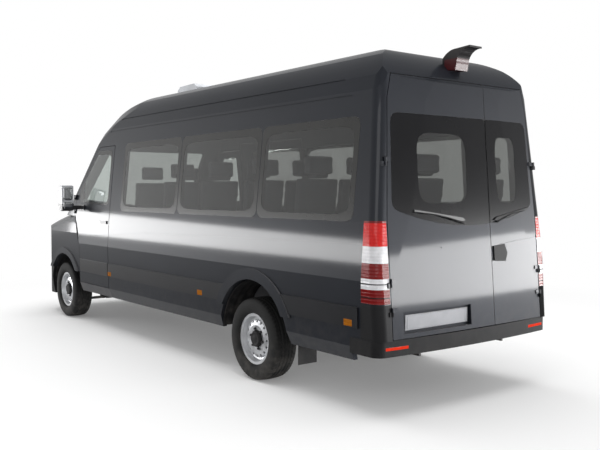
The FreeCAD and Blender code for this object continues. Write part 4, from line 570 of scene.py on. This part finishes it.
# %% The plain finishes
side_tint = glass("side_glass", (0.36, 0.37, 0.36, 1))
clear_tint = glass("front_glass", (0.62, 0.66, 0.64, 1))
black_plastic = plain_finish("black_plastic", (0.010, 0.010, 0.011, 1), 0.5, depth=0.25, dust=0.08,
                             gloss=0.16)
strip_plastic = plain_finish("strip_plastic", (0.009, 0.0095, 0.012, 1), 0.42, depth=0.1, dust=0.03,
                             gloss=0.2)
cabin_plastic = plain_finish("cabin_plastic", (0.05, 0.05, 0.055, 1), 0.6, depth=0.3, dust=0.0)
rubber = plain_finish("rubber", (0.011, 0.011, 0.011, 1), 0.7, depth=0.3, dust=0.2, height=0.5, gloss=0.25)
dark_steel = plain_finish("underbody_steel", (0.02, 0.02, 0.022, 1), 0.5, metal=0.6, depth=0.35, dust=0.7,
                          height=1.2)
cast_metal = plain_finish("cast_metal", (0.12, 0.12, 0.12, 1), 0.6, metal=0.8, scale=120, depth=0.5,
                          dust=0.5, height=1.2)
rim_silver = plain_finish("rim_silver", (0.60, 0.61, 0.63, 1), 0.34, metal=0.7, depth=0.05, dust=0.22,
                          height=0.6)
vent_white = plain_finish("vent_plastic", (0.62, 0.64, 0.67, 1), 0.4, depth=0.1, dust=0.0)
floor_vinyl = plain_finish("floor_vinyl", (0.06, 0.06, 0.065, 1), 0.7, depth=0.4, dust=0.2, height=0.9)
print("finishes", len(bpy.data.materials))

# %% [markdown]
# ## Lamp lenses
# A tail lamp is one moulding whose clear and coloured fields follow each other in height, with fine ribs
# moulded in. The field is picked from the height alone, so that one material also serves the red
# reflectors and the amber side markers below. A head lamp has round reflectors behind a clear lens,
# which are drawn as rings about their middles: the light rings are painted reflections in the chrome bowls.

# %% Tail lamps in bands of colour
def banded(name, bands, base):
    """A lens whose colour changes at heights: pairs of (height in metres, colour above it)."""
    made, tree, shader = material(name)
    level = axes_of(tree)["Z"]
    colour = base
    for height, tint in bands:
        colour = mixed(tree, smoothly(tree, level, height - 0.0015, height + 0.0015), colour, tint)
    tint_with(tree, shader, colour, 0.15, 30.0)
    ribs = math_node(tree, "SINE", times(tree, level, 260.0))
    link(tree, bumped(tree, ribs, 0.25, 0.002), shader.inputs["Normal"])
    settle(shader, {"Roughness": 0.12, "Specular IOR Level": 0.2, "Coat Weight": 0.12,
                    "Coat Roughness": 0.1})
    return made


RED, DEEP, WHITE = (0.50, 0.012, 0.010, 1), (0.16, 0.008, 0.008, 1), (0.62, 0.62, 0.64, 1)
GAP, AMBER = (0.02, 0.02, 0.02, 1), (0.30, 0.10, 0.008, 1)
tail_lens = banded("tail_lens", [(0.60, AMBER), (0.80, DEEP), (0.868, GAP), (0.876, DEEP), (0.931, WHITE),
                                 (0.964, GAP), (0.972, WHITE), (1.005, DEEP), (1.114, WHITE), (1.232, RED),
                                 (1.395, DEEP)], (0.62, 0.03, 0.01, 1))
print("tail lens", tail_lens.name)

# %% Head lamps with round reflectors
def ringed(name, eyes, base, bright, low_tint, split):
    """A head lamp: round reflectors drawn as rings about their middles, the light rings being painted
    reflections, and an indicator below a height.
    """
    made, tree, shader = material(name)
    parts = axes_of(tree)
    sideways = math_node(tree, "ABSOLUTE", parts["Y"])
    colour = base
    for y, z, size in eyes:
        dy = math_node(tree, "SUBTRACT", sideways, y)
        dz = math_node(tree, "SUBTRACT", parts["Z"], z)
        squares = [times(tree, step, step) for step in (dy, dz)]
        away = math_node(tree, "SQRT", math_node(tree, "ADD", *squares))
        # The light and dark rings are painted reflections in the chrome bowls, and a dark disc marks each
        # middle.
        ring = math_node(tree, "SINE", times(tree, away, 420.0))
        painted_bowl_reflection = mixed(tree, smoothly(tree, ring, -0.6, 0.8), (0.30, 0.31, 0.33, 1), bright)
        bulb = mixed(tree, smoothly(tree, away, size * 0.30, size * 0.36), (0.05, 0.05, 0.055, 1), painted_bowl_reflection)
        colour = mixed(tree, smoothly(tree, away, size * 0.94, size), bulb, colour)
    colour = mixed(tree, smoothly(tree, parts["Z"], split - 0.002, split + 0.002), low_tint, colour)
    tint_with(tree, shader, colour, 0.1, 20.0)
    settle(shader, {"Metallic": 0.35, "Roughness": 0.16, "Coat Weight": 0.8, "Coat Roughness": 0.02})
    return made


# The light tint of the rings is a painted reflection.
head_lens = ringed("head_lens", [(0.70, 0.900, 0.066), (0.852, 0.905, 0.058)], (0.16, 0.165, 0.175, 1),
                   (0.78, 0.80, 0.83, 1), (0.60, 0.26, 0.05, 1), 0.800)
print("head lens", head_lens.name)

# %% [markdown]
# ## Seat cloth
# The seats wear a plain weave. Sine waves along the three directions cross to threads, which give both
# the colour and a small bump: the tops take the thread's tint and the hollows between threads are
# darker, which is painted shade. A little sheen stands for the loose fibres.

# %% Seat cloth
seat_cloth, tree, shader = material("seat_cloth")
# The darker colour lies in the hollows between threads as painted shade.
cloth = use(tree, weave, Color=(0.035, 0.038, 0.05, 1), Thread=(0.09, 0.095, 0.12, 1), Scale=900.0)
tint_with(tree, shader, cloth.outputs["Color"], 0.2, 6.0)
link(tree, bumped(tree, cloth.outputs["Height"], 0.3, 0.001), shader.inputs["Normal"])
settle(shader, {"Roughness": 0.9, "Sheen Weight": 0.3})
print("cloth", seat_cloth.name)

# %% [markdown]
# ## Dressing the nodes
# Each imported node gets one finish. Where one node holds two colours, such as a mirror head on its black
# foot or a lens in its pod, the second colour is picked from the place on the piece.

# %% Give every node its finish
def dress(finish, *starts):
    """Put a finish on the nodes whose names start so, in place of what they had; the last call stays."""
    for name, node in nodes.items():
        if name.startswith(starts):
            node.data.materials.clear()
            node.data.materials.append(finish)


SIDES = ((1, "left"), (-1, "right"))
dress(side_paint, "side_panel")
dress(paint, "sliding_door", "roof_panel", "screen_frame", "front_door", "rear_door", "bonnet",
      "front_wing", "front_panel", "bulkhead")
dress(side_tint, "side_glass", "rear_door_glass")
dress(clear_tint, "windscreen", "front_door_glass")
dress(black_plastic, "grille", "front_bumper", "rear_bumper", "mud_flaps", "front_wipers",
      "rear_fittings_right", "fuel_tank")
dress(strip_plastic, "side_mouldings")
dress(cabin_plastic, "dashboard", "steering_wheel")
dress(floor_vinyl, "floor_pan")
dress(dark_steel, "underbody_rails", "rear_axle", "leaf_springs", "front_suspension", "knuckle",
      "drive_line", "exhaust", "seat_frames")
dress(cast_metal, "engine_block")
dress(rubber, "spare_wheel", "tyre")
dress(rim_silver, "rim")
dress(vent_white, "roof_vent")
dress(tail_lens, "tail_and_marker_lamps")
dress(head_lens, "headlamps")
dress(seat_cloth, "seat_pads")
print("dressed in one colour")

# %% Nodes of two colours
FITTING_BLACK, MIRROR_GREY = (0.018, 0.018, 0.02, 1), (0.42, 0.43, 0.45, 1)
ANYWHERE = (None, None, None)
for hand, side in SIDES:
    dress(two_tone("mirror_and_handle_" + side, FITTING_BLACK, MIRROR_GREY, (1.90, None, 1.475), ANYWHERE,
                   0.3, 0.04), "door_fittings_" + side)
dress(two_tone("rear_fittings_plate", FITTING_BLACK, (0.24, 0.245, 0.26, 1), ANYWHERE, (None, None, 0.75),
               0.4, 0.05), "rear_fittings_left")
dress(two_tone("pod_and_lens", (0.012, 0.010, 0.011, 1), (0.05, 0.003, 0.005, 1), (-3.345, None, 2.55),
               (-3.20, None, 2.64), 0.35, 0.05), "brake_lamp_pod")
print("nodes without a finish:", [name for name, node in nodes.items() if not node.data.materials])

# %% [markdown]
# ## Tyres
# A road tyre is a ring with a crowned tread. Four grooves run round it and short slots cross the outer
# ribs, so that water can leave. The outline of one slice is turned round the axle, and the radius drops
# by the depth of a groove wherever the place on the tread falls into one.

# %% Where the wheels are
AXLE_Z, HALF_TRACK, FRONT_X, REAR_X = 0.356, 0.855, 2.4685, -1.8565
wheels = {"front_left": (FRONT_X, 1), "front_right": (FRONT_X, -1), "rear_left": (REAR_X, 1),
          "rear_right": (REAR_X, -1)}
print("wheelbase", round(FRONT_X - REAR_X, 4))

# %% Tyres with their tread
GROOVE_DEPTH, BLOCKS = 0.0075, 60


def groove(distance, half, soft):
    """One inside a groove, zero outside, with soft walls: the distance is measured from its middle."""
    return np.clip((half + soft - np.abs(distance)) / soft, 0, 1)


def tyre_grid(turns=300):
    """Rows round the axle, columns round the slice; radius = outline - 7.5 mm x union of the grooves."""
    side = np.array([[0.2210, 0.0810], [0.2225, 0.0935], [0.230, 0.1060], [0.246, 0.1135], [0.262, 0.1162],
                     [0.280, 0.1172], [0.300, 0.1165], [0.322, 0.1120], [0.338, 0.1060], [0.347, 0.0985]])
    across = np.linspace(0.0945, -0.0945, 64)
    tread = np.stack((0.3558 - 0.0075 * (np.abs(across) / 0.0985) ** 2.4, across), 1)
    other = side[::-1] * [1, -1]
    inner = np.array([[0.2150, -0.0770], [0.2045, -0.0700], [0.2045, 0.0700], [0.2150, 0.0770]])
    outline = np.concatenate((side, tread, other, inner))
    angle = full_turn(turns)[:, None]
    y = outline[None, :, 1] + 0 * angle
    radius = outline[None, :, 0] + 0 * angle
    along = angle * AXLE_Z
    wave = 0.0022 * np.sin(angle * BLOCKS)
    deep = np.maximum.reduce([groove(y - c - wave, 0.0042, 0.0022) for c in (-0.052, -0.018, 0.018, 0.052)])
    pitch = 2 * np.pi * AXLE_Z / BLOCKS
    slot_place = (along + 0.35 * np.abs(y) + pitch / 2) % pitch - pitch / 2
    slots = groove(slot_place, 0.0030, 0.0030) * (np.abs(y) > 0.058)
    cut_place = (along - 0.5 * y + pitch / 4) % (pitch / 2) - pitch / 4
    fine = 0.45 * groove(cut_place, 0.0008, 0.0028) * (np.abs(y) < 0.047)
    on_tread = np.clip((radius - 0.3440) / 0.004, 0, 1)
    radius = radius - GROOVE_DEPTH * np.maximum.reduce([deep, slots, fine]) * on_tread
    band = (0.0012 * np.exp(-((radius - 0.306) / 0.0022) ** 2)
            + 0.0010 * np.exp(-((radius - 0.252) / 0.0022) ** 2))
    y = y + np.sign(y) * band * (np.abs(y) > 0.1)
    return np.stack((radius * np.sin(angle), y, radius * np.cos(angle)), -1)


tyre_shape = tyre_grid()
for place, (wheel_x, hand) in wheels.items():
    made = grid_piece("tread_" + place, tyre_shape + [wheel_x, HALF_TRACK * hand, AXLE_Z], "wheel_" + place,
                      rubber, wrap_rows=True)
    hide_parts("tyre_" + place)
print("tyre triangles", 2 * tyre_shape.shape[0] * tyre_shape.shape[1])

# %% [markdown]
# ## Wheel nuts and hub caps
# Six nuts hold each steel rim. A nut is a six-sided ring of points whose radius steps in towards its
# domed end, and the cap is a shallow dome on the hub.

# %% Nuts and caps
def dome_stack(rings, sides, flat=0.0):
    """A closed stack of rings (radius, y) about the Y axis; flat = 1 pulls each ring out to a hexagon."""
    turn = full_turn(sides)
    rings = np.asarray(rings, dtype=float)
    wobble = 1.0 + flat * (1 / np.cos((turn + np.pi / 6) % (np.pi / 3) - np.pi / 6) - 1.0)
    radius = rings[:, 0:1] * wobble[None]
    return np.stack((radius * np.sin(turn), rings[:, 1:2] + 0 * turn[None], radius * np.cos(turn)), -1)


nut_steel = plain_finish("nut_steel", (0.03, 0.03, 0.032, 1), 0.45, metal=0.6, depth=0.1, dust=0.1)
nut = dome_stack([(0, 0.0), (0.0110, 0.0), (0.0110, 0.010), (0.0092, 0.0125), (0.0075, 0.018), (0, 0.0195)],
                 18, 1.0)
cap = dome_stack([(0, 0.0912), (0.033, 0.0912), (0.0457, 0.085), (0.0457, 0.0645), (0.0735, 0.0608),
                  (0.0745, 0.063), (0.072, 0.076), (0.060, 0.087), (0.050, 0.0892), (0.048, 0.0875),
                  (0.030, 0.0925), (0, 0.0945)], 48)
NUT_CIRCLE, NUT_SEAT_Y = 0.0865, 0.9152
spins = np.arange(6)[:, None, None] * np.pi / 3 + 0.3
for place, (wheel_x, hand) in wheels.items():
    middles = np.concatenate((wheel_x + NUT_CIRCLE * np.sin(spins), NUT_SEAT_Y * hand + 0 * spins,
                              AXLE_Z + NUT_CIRCLE * np.cos(spins)), -1)[:, None]
    grid_piece("nuts_" + place, nut * [1, hand, 1] + middles, "wheel_" + place, nut_steel)
    grid_piece("hub_cap_" + place, cap * [1, hand, 1] + [wheel_x, HALF_TRACK * hand, AXLE_Z],
               "wheel_" + place, black_plastic)
print("nuts and caps on", len(wheels), "wheels")

# %% [markdown]
# ## Seats
# Each of the places has a cushion, a backrest and a headrest: foam in a sewn cloth cover. One of each is
# made. It starts a little smaller than its room, is meshed evenly and is then swelled by cloth pressure,
# held within a centimetre. The sewn channels are pressed in last, and arrays set the copies in place.

# %% The outline and the seams of a pad
def rounded(outline, cut):
    """An outline with each corner cut off by two points, so that the pad starts with soft edges."""
    ring = np.asarray(outline, dtype=float)
    ahead = np.roll(ring, -1, 0) - ring
    ahead /= np.linalg.norm(ahead, axis=1)[:, None]
    behind = -np.roll(ahead, 1, 0)
    return np.stack((ring + behind * cut, ring + ahead * cut), 1).reshape(-1, 2)


def channels(values, places, wide, deep):
    """How far a seam presses the cover in: a narrow bell at each of the places."""
    return deep * sum(np.exp(-((values - c) / wide) ** 2) for c in places)


SIDE_SEAM = 0.135


def seams(across, along, places, deep):
    """Two long seams and, between them, cross seams at the places."""
    return (channels(across, (-SIDE_SEAM, SIDE_SEAM), 0.011, 0.007)
            + channels(along, places, 0.011, deep) * (np.abs(across) < SIDE_SEAM))


print("a seam is", channels(0.0, (0.0,), 0.011, 0.007), "m deep in its middle")

# %% How a pad is stuffed
PRESSURE, STUFFING_FRAMES = 4, 20


def stuffed(name, outline, half_wide, reach, even):
    """A pad from its outline in X and Z: evenly meshed, swelled by pressure, no point moved past reach.

    new point = point + push x the smaller of 1 and reach / length of the push
    """
    count = len(outline)
    both = [(x, y, z) for y in (-half_wide, half_wide) for x, z in outline]
    rims = [[k, (k + 1) % count, count + (k + 1) % count, count + k] for k in range(count)]
    mesh = bpy.data.meshes.new(name)
    mesh.from_pydata(both, [], rims + [list(range(count))[::-1], list(range(count, 2 * count))])
    thing = show(bpy.data.objects.new(name, mesh))
    evenly = thing.modifiers.new("even", "REMESH")
    evenly.mode = "VOXEL"
    evenly.voxel_size = even
    start = bpy.data.meshes.new_from_object(thing.evaluated_get(bpy.context.evaluated_depsgraph_get()))
    thing.modifiers.clear()
    thing.data = start
    points = array_of(start.vertices, "co", 3)
    faces = array_of(start.polygons, "vertices", 4, np.int32)
    cloth = thing.modifiers.new("stuffing", "CLOTH")
    cloth.settings.use_pressure = True
    cloth.settings.uniform_pressure_force = PRESSURE
    cloth.settings.effector_weights.gravity = 0
    cloth.point_cache.frame_start = 1
    cloth.point_cache.frame_end = STUFFING_FRAMES
    for moment in range(1, STUFFING_FRAMES + 1):
        bpy.context.scene.frame_set(moment)
    swelled = thing.evaluated_get(bpy.context.evaluated_depsgraph_get()).data
    push = array_of(swelled.vertices, "co", 3) - points
    length = np.linalg.norm(push, axis=1, keepdims=True)
    points = points + push * np.minimum(1.0, reach / np.maximum(length, 1e-9))
    bpy.context.scene.frame_set(1)
    bpy.data.objects.remove(thing)
    return points, faces


print("a pad is stuffed for", STUFFING_FRAMES, "frames")

# %% The cushion
cushion_side = rounded([(-0.420, 1.010), (-0.010, 1.012), (-0.010, 1.098), (-0.420, 1.090)], 0.022)
cushion, cushion_faces = stuffed("cushion", cushion_side, 0.204, 0.010, 0.0135)
crown = (np.clip(1 - (cushion[:, 1] / 0.2) ** 2, 0, 1)
         * np.clip(1 - ((cushion[:, 0] + 0.215) / 0.2) ** 2, 0, 1))
on_top = np.clip((cushion[:, 2] - 1.07) / 0.02, 0, 1)
cushion[:, 2] += on_top * (0.006 * crown - seams(cushion[:, 1], cushion[:, 0], (-0.15, -0.28), 0.004))
print("cushion", len(cushion), "points")

# %% The backrest and the headrest
back_side = rounded([(-0.440, 1.014), (-0.444, 1.125), (-0.542, 1.738), (-0.598, 1.728),
                     (-0.514, 1.014)], 0.02)
back, back_faces = stuffed("backrest", back_side, 0.204, 0.009, 0.0145)
lean_x = -0.436 - 0.157 * (back[:, 2] - 1.11)
on_front = np.clip((back[:, 0] - lean_x + 0.035) / 0.02, 0, 1)
back[:, 0] -= on_front * seams(back[:, 1], back[:, 2], (1.30, 1.46, 1.62), 0.005)
head_side = rounded([(-0.616, 1.762), (-0.540, 1.760), (-0.540, 1.908), (-0.612, 1.908)], 0.02)
head, head_faces = stuffed("headrest", head_side, 0.126, 0.008, 0.0135)
on_front = np.clip((head[:, 0] + 0.575) / 0.02, 0, 1)
head[:, 0] -= on_front * channels(head[:, 2], (1.80,), 0.010, 0.004)
print("backrest and headrest", len(back) + len(head), "points")

# %% Set the copies in their places
FIRST_ROW_X, ROW_PITCH, ROWS, CAB_ROW_X = 0.49, 0.76, 5, 1.62
fronts = [(FIRST_ROW_X - ROW_PITCH * row, y) for row in range(ROWS) for y in (0.65, 0.20, -0.56)
          if row or y > 0]
fronts += [(CAB_ROW_X, y) for y in (0.43, -0.52, -0.06)]
for name, shape, faces in (("seat_cushions", cushion, cushion_faces), ("seat_backrests", back, back_faces),
                           ("seat_headrests", head, head_faces)):
    copies = np.concatenate([shape + [x, y, 0] for x, y in fronts])
    numbers = np.concatenate([faces + k * len(shape) for k in range(len(fronts))])
    made = piece(name, copies, numbers, "vehicle", seat_cloth)
    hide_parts("seat_pads")
    print(name, len(fronts), "copies,", 2 * len(numbers), "triangles")

# %% [markdown]
# ## Borders of the panes
# Bus glass is bonded in, and a black printed border hides the glue. On the rear doors the border is wide
# and leaves a rounded sight area. Rays shot at the glass find its edge and its surface, so the border is
# a thin ring of points that follows the real pane, from its edge to the edge of the sight area.

# %% Rays that find a surface
def catcher(*names):
    """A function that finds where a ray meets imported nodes, which already lie in the shared frame."""
    points, faces = [], []
    for name in names:
        mesh = nodes[name].data
        mesh.calc_loop_triangles()
        faces += (array_of(mesh.loop_triangles, "vertices", 3, np.int32) + len(points)).tolist()
        points += array_of(mesh.vertices, "co", 3).tolist()
    tree = BVHTree.FromPolygons(points, faces)
    return lambda start, way: tree.ray_cast(Vector(start), Vector(way))[0]


print("a ray meets the roof at", catcher("roof_panel")((0, 0, 5), (0, 0, -1)))

# %% How a border is laid on a pane
EDGE_ROOM, NARROWEST = 0.0015, 0.012
OUTER_LIFT, INNER_LIFT = 0.0006, 0.0001


def border(name, pane, middle, sight, axis, sign, body, span=(-9, 9), columns=120, rows=7):
    """A ring on a pane, from a rounded sight area to the pane's edge, half a millimetre thick.

    The sight area's radius at an angle is (|cos / a| ^ p + |sin / b| ^ p) ^ (-1 / p), and halving a
    distance 14 times finds where rays stop meeting the glass.
    """
    ray = catcher(pane)
    way, power = {"Y": ((0, -sign, 0), 9), "X": ((1, 0, 0), 5), "F": ((-1, 0, 0), 7)}[axis]

    def at(u, v):
        """Where a ray square to the pane meets it, or nothing."""
        start = {"Y": (u, 1.4 * sign, v), "X": (-3.8, u, v), "F": (3.8, u, v)}[axis]
        return ray(start, way) if span[0] < u < span[1] else None

    grid = np.zeros((rows, columns, 3))
    for j, a in enumerate(full_turn(columns)):
        size = math.hypot(sight[0] * math.cos(a), sight[1] * math.sin(a))
        cu, cv = sight[0] * math.cos(a) / size, sight[1] * math.sin(a) / size
        low, high = 0.0, 1.6
        for _ in range(14):
            half = (low + high) / 2
            low, high = (half, high) if at(middle[0] + half * cu, middle[1] + half * cv) else (low, half)
        edge = low - EDGE_ROOM
        inner = (abs(cu / sight[0]) ** power + abs(cv / sight[1]) ** power) ** (-1 / power)
        inner = min(inner, edge - NARROWEST)
        for i, r in enumerate(np.linspace(inner, edge, rows)):
            spot = at(middle[0] + r * cu, middle[1] + r * cv)
            grid[i, j] = spot if spot else grid[i - 1, j]
    lift = -np.array(way)
    ring = np.concatenate((grid + lift * OUTER_LIFT, (grid + lift * INNER_LIFT)[::-1]))
    grid_piece(name, ring, body, printed if axis == "X" else printed_side, wrap_rows=True,
               smooth=False)


printed = plain_finish("printed_border", (0.006, 0.006, 0.007, 1), 0.18, depth=0.0, dust=0.1, gloss=0.12)
printed_side = plain_finish("printed_border_side", (0.018, 0.018, 0.017, 1), 0.22, depth=0.0, dust=0.1,
                            gloss=0.35)
print("border lifts", OUTER_LIFT, INNER_LIFT)

# %% Borders of the side panes
PANES = {"left": ((-0.5, 0.812), (-1.895, -0.508), (-3.135, -1.903)),
         "right": ((-0.211, 0.812), (-1.696, -0.219), (-3.135, -1.704))}
for hand, side in SIDES:
    for k, (x0, x1) in enumerate(PANES[side]):
        border("border_%s_%d" % (side, k), "side_glass_" + side, ((x0 + x1) / 2, 1.775),
               ((x1 - x0) / 2 - 0.055, 0.325), "Y", hand, "vehicle", (x0, x1), columns=144)
    border("border_front_door_" + side, "front_door_glass_" + side, (1.53, 1.77), (0.36, 0.29), "Y", hand,
           "front_door_" + side, columns=144)
    print("borders of the", side, "side")

# %% Borders of the screen and the rear panes
border("border_screen", "windscreen", (0, 1.76), (0.745, 0.40), "F", 1, "vehicle", columns=168)
border("border_rear_left", "rear_door_glass_left", (0.275, 1.79), (0.262, 0.262), "X", 1, "rear_door_left",
       rows=12)
border("border_rear_right", "rear_door_glass_right", (-0.475, 1.79), (0.128, 0.262), "X", 1,
       "rear_door_right", rows=10)
print("borders done")

# %% [markdown]
# ## Mirrors, wiper arms and the blank plate
# A mirror glass is a thin slightly crowned plate with rounded corners. The wiper arms are tapering tubes
# that follow the glass, and the plate has a pressed rim and no characters.

# %% A plate with rounded corners
def plate_grid(middle, half, rings, corner=5.0, columns=64):
    """A closed plate facing rearwards: each ring is (share of the outline, distance towards the rear)."""
    turn = full_turn(columns)
    cu, cv = np.cos(turn), np.sin(turn)
    radius = (np.abs(cu) ** corner + np.abs(cv) ** corner) ** (-1 / corner)
    rings = np.asarray(rings, dtype=float)
    y = middle[1] + half[0] * rings[:, 0:1] * (radius * cu)[None]
    z = middle[2] + half[1] * rings[:, 0:1] * (radius * cv)[None]
    x = middle[0] - rings[:, 1:2] + 0 * y
    return np.stack((x, y, z), -1)


print("plate helper ready")

# %% Mirror glass
mirror_finish, tree, shader = material("mirror_glass")
tint_with(tree, shader, (0.72, 0.73, 0.75, 1), 0.08, 3.0)
settle(shader, {"Metallic": 1.0, "Roughness": 0.03})
CROWN = [(0, 0.0052), (0.5, 0.0048), (0.92, 0.0036), (1.0, 0.0024), (1.0, -0.0015), (0, -0.0015)]
for hand, side in SIDES:
    for part, glass_x, middle_z, half_z in (("upper", 1.906, 1.595, 0.080), ("lower", 1.903, 1.458, 0.040)):
        shape = plate_grid((glass_x, 1.1405 * hand, middle_z), (0.060, half_z), CROWN)
        grid_piece("mirror_%s_%s" % (part, side), shape, "front_door_" + side, mirror_finish)
print("four mirror glasses")

# %% The blank plate
plate_finish = plain_finish("blank_plate", (0.24, 0.245, 0.26, 1), 0.35, metal=0.3, depth=0.05, dust=0.1)
PRESSED_RIM = [(0, 0.0006), (0.955, 0.0006), (0.965, 0.0019), (0.99, 0.0019), (1.0, 0.0004), (1.0, 0.0001),
               (0, 0.0001)]
plate_shape = plate_grid((-3.4410, 0.393, 0.683), (0.318, 0.050), PRESSED_RIM, 14.0, 160)
made = grid_piece("rear_plate", plate_shape, "rear_door_left", plate_finish,
                  smooth=False)
print("plate", [round(v, 3) for v in made.dimensions])

# %% Rear wiper arms
ARMS = {"left": ((0.075, 1.375), (0.62, 1.470)), "right": ((-0.30, 1.372), (-0.70, 1.462))}
for side, (pivot, tip) in ARMS.items():
    face = catcher("rear_door_" + side, "rear_door_glass_" + side)
    path = []
    for share in np.linspace(0, 1, 24):
        bow = math.sin(math.pi * share)
        y = pivot[0] + share * (tip[0] - pivot[0])
        z = pivot[1] + share * (tip[1] - pivot[1]) + 0.016 * bow
        hit = face((-3.8, y, z), (1, 0, 0))
        if hit:
            path.append((hit.x - 0.0105 - 0.003 * bow, y, z))
    taper = np.linspace(0.0075, 0.0038, len(path))
    taper[0] = taper[-1] = 0.0002
    grid_piece("rear_wiper_arm_" + side, tube(path, taper), "rear_door_" + side, printed)
    print("wiper arm", side, len(path), "points")

# %% [markdown]
# ## Wheel arch liners
# Each arch is closed inside by a moulded plastic liner, an arc of sheet round the wheel with shallow
# ribs. It is a grid of width by angle whose radius ripples by two millimetres, doubled to a thickness.

# %% Arch liners
ARCHES = {"front": (0.4655, 0.60, 0.94), "rear": (0.5105, 0.675, 0.948)}
LINER_FOOT_Z, SHEET = 0.405, 0.003


def liner(wheel_x, hand, radius, y_in, y_out, columns=72, rows=25):
    """An arc of sheet about the axle: radius = R + 2 mm x tanh(3 sin(width / 70 mm)), there and back."""
    start = math.asin((LINER_FOOT_Z - AXLE_Z) / radius)
    angle = np.linspace(start, math.pi - start, columns)[None, :]
    y = np.linspace(y_in, y_out, rows)[:, None]
    outer = radius - 0.0025 + 0.002 * np.tanh(3 * np.sin((y - y_in) * 2 * np.pi / 0.07)) + 0 * angle
    skins = [np.stack((wheel_x + r * np.cos(angle), hand * y + 0 * angle, AXLE_Z + r * np.sin(angle)), -1)
             for r in (outer, outer - SHEET)]
    return np.concatenate((skins[0], skins[1][::-1]))


liner_plastic = plain_finish("liner_plastic", (0.012, 0.012, 0.013, 1), 0.8, depth=0.4, dust=0.35,
                             height=1.0, gloss=0.1)
for place, (wheel_x, hand) in wheels.items():
    shape = liner(wheel_x, hand, *ARCHES[place.split("_")[0]])
    made = grid_piece("arch_liner_" + place, shape, "vehicle", liner_plastic,
                      wrap_rows=True, wrap_columns=False)
    ends = bmesh.new()
    ends.from_mesh(made.data)
    bmesh.ops.holes_fill(ends, edges=[e for e in ends.edges if e.is_boundary])
    bmesh.ops.recalc_face_normals(ends, faces=ends.faces)
    ends.to_mesh(made.data)
    ends.free()
print("four arch liners")

# %% [markdown]
# ## Instruments
# The instrument panel has two round dials behind the steering wheel, a screen and air vents. Rays shot
# forwards from the cab find the face of the dashboard, so that each small plate lies on it.

# %% The face of the dials
DIAL_Y, DIAL_Z, TICKS = 0.43, 1.27, 36.0
dial_finish, tree, shader = material("dial_face")
parts = axes_of(tree)
angle_of = math_node(tree, "ARCTAN2", math_node(tree, "SUBTRACT", parts["Z"], DIAL_Z),
                     math_node(tree, "SUBTRACT", parts["Y"], DIAL_Y))
tick = smoothly(tree, math_node(tree, "SINE", times(tree, angle_of, TICKS)), 0.86, 0.97)
marked = mixed(tree, tick, (0.01, 0.01, 0.012, 1), (0.7, 0.7, 0.7, 1))
tint_with(tree, shader, marked, 0.1, 40.0)
settle(shader, {"Roughness": 0.25})
print("dial face", dial_finish.name)

# %% Dials, screen and vents
BEZEL = [(0, 0.004), (0.86, 0.004), (0.88, 0.009), (0.97, 0.009), (1.0, 0.006), (1.0, -0.02), (0, -0.02)]
plates = {"dials": [(0.36, 1.262, 0.052, 0.044, 2.0), (0.50, 1.262, 0.052, 0.044, 2.0)],
          "screen": [(0.0, 1.245, 0.095, 0.048, 10.0)],
          "vents": [(-0.70, 1.25, 0.055, 0.032, 6.0), (0.71, 1.25, 0.045, 0.032, 6.0),
                    (0.17, 1.25, 0.04, 0.034, 6.0), (-0.17, 1.25, 0.04, 0.034, 6.0)]}
dash = catcher("dashboard")
for label, places in plates.items():
    grids = []
    for y, z, half_y, half_z, corner in places:
        hit = dash((1.2, y, z), (1, 0, 0))
        if hit:
            grids.append(plate_grid((hit.x, y, z), (half_y, half_z), BEZEL, corner, 40))
    if grids:
        grid_piece("dash_" + label, grids, "vehicle",
                   dial_finish if label == "dials" else black_plastic, smooth=False)
    print(label, len(grids))

# %% [markdown]
# ## Keep the rear strip off the right side
# The long strip behind the vehicle is there for the rear doors. Seen along the right side from the
# front, it would burn that side white, so light linking leaves the pieces of that side out of its
# reach. A screen on a stand does the same in a studio.

# %% Light linking
away_from_strip = bpy.data.collections.new("away_from_rear_strip")
RIGHT_SIDE = ("side_panel_right", "sliding_door", "front_door_right", "front_wing_right",
              "side_glass_right", "front_door_glass_right", "side_mouldings", "door_fittings_right",
              "border_right", "border_front_door_right", "mirror_upper_right", "mirror_lower_right")
for thing in bpy.context.scene.objects:
    if thing.name.startswith(RIGHT_SIDE):
        away_from_strip.objects.link(thing)
for entry in away_from_strip.collection_objects:
    entry.light_linking.link_state = "EXCLUDE"
rear_strip.light_linking.receiver_collection = away_from_strip

# %% [markdown]
# ## The two boxes
# The box of all that is dressed, leaving out the studio, is worked out and printed.

# %% Print the box and finish
low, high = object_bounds()
print("box now", [round(v, 3) for v in (*low, *high)])
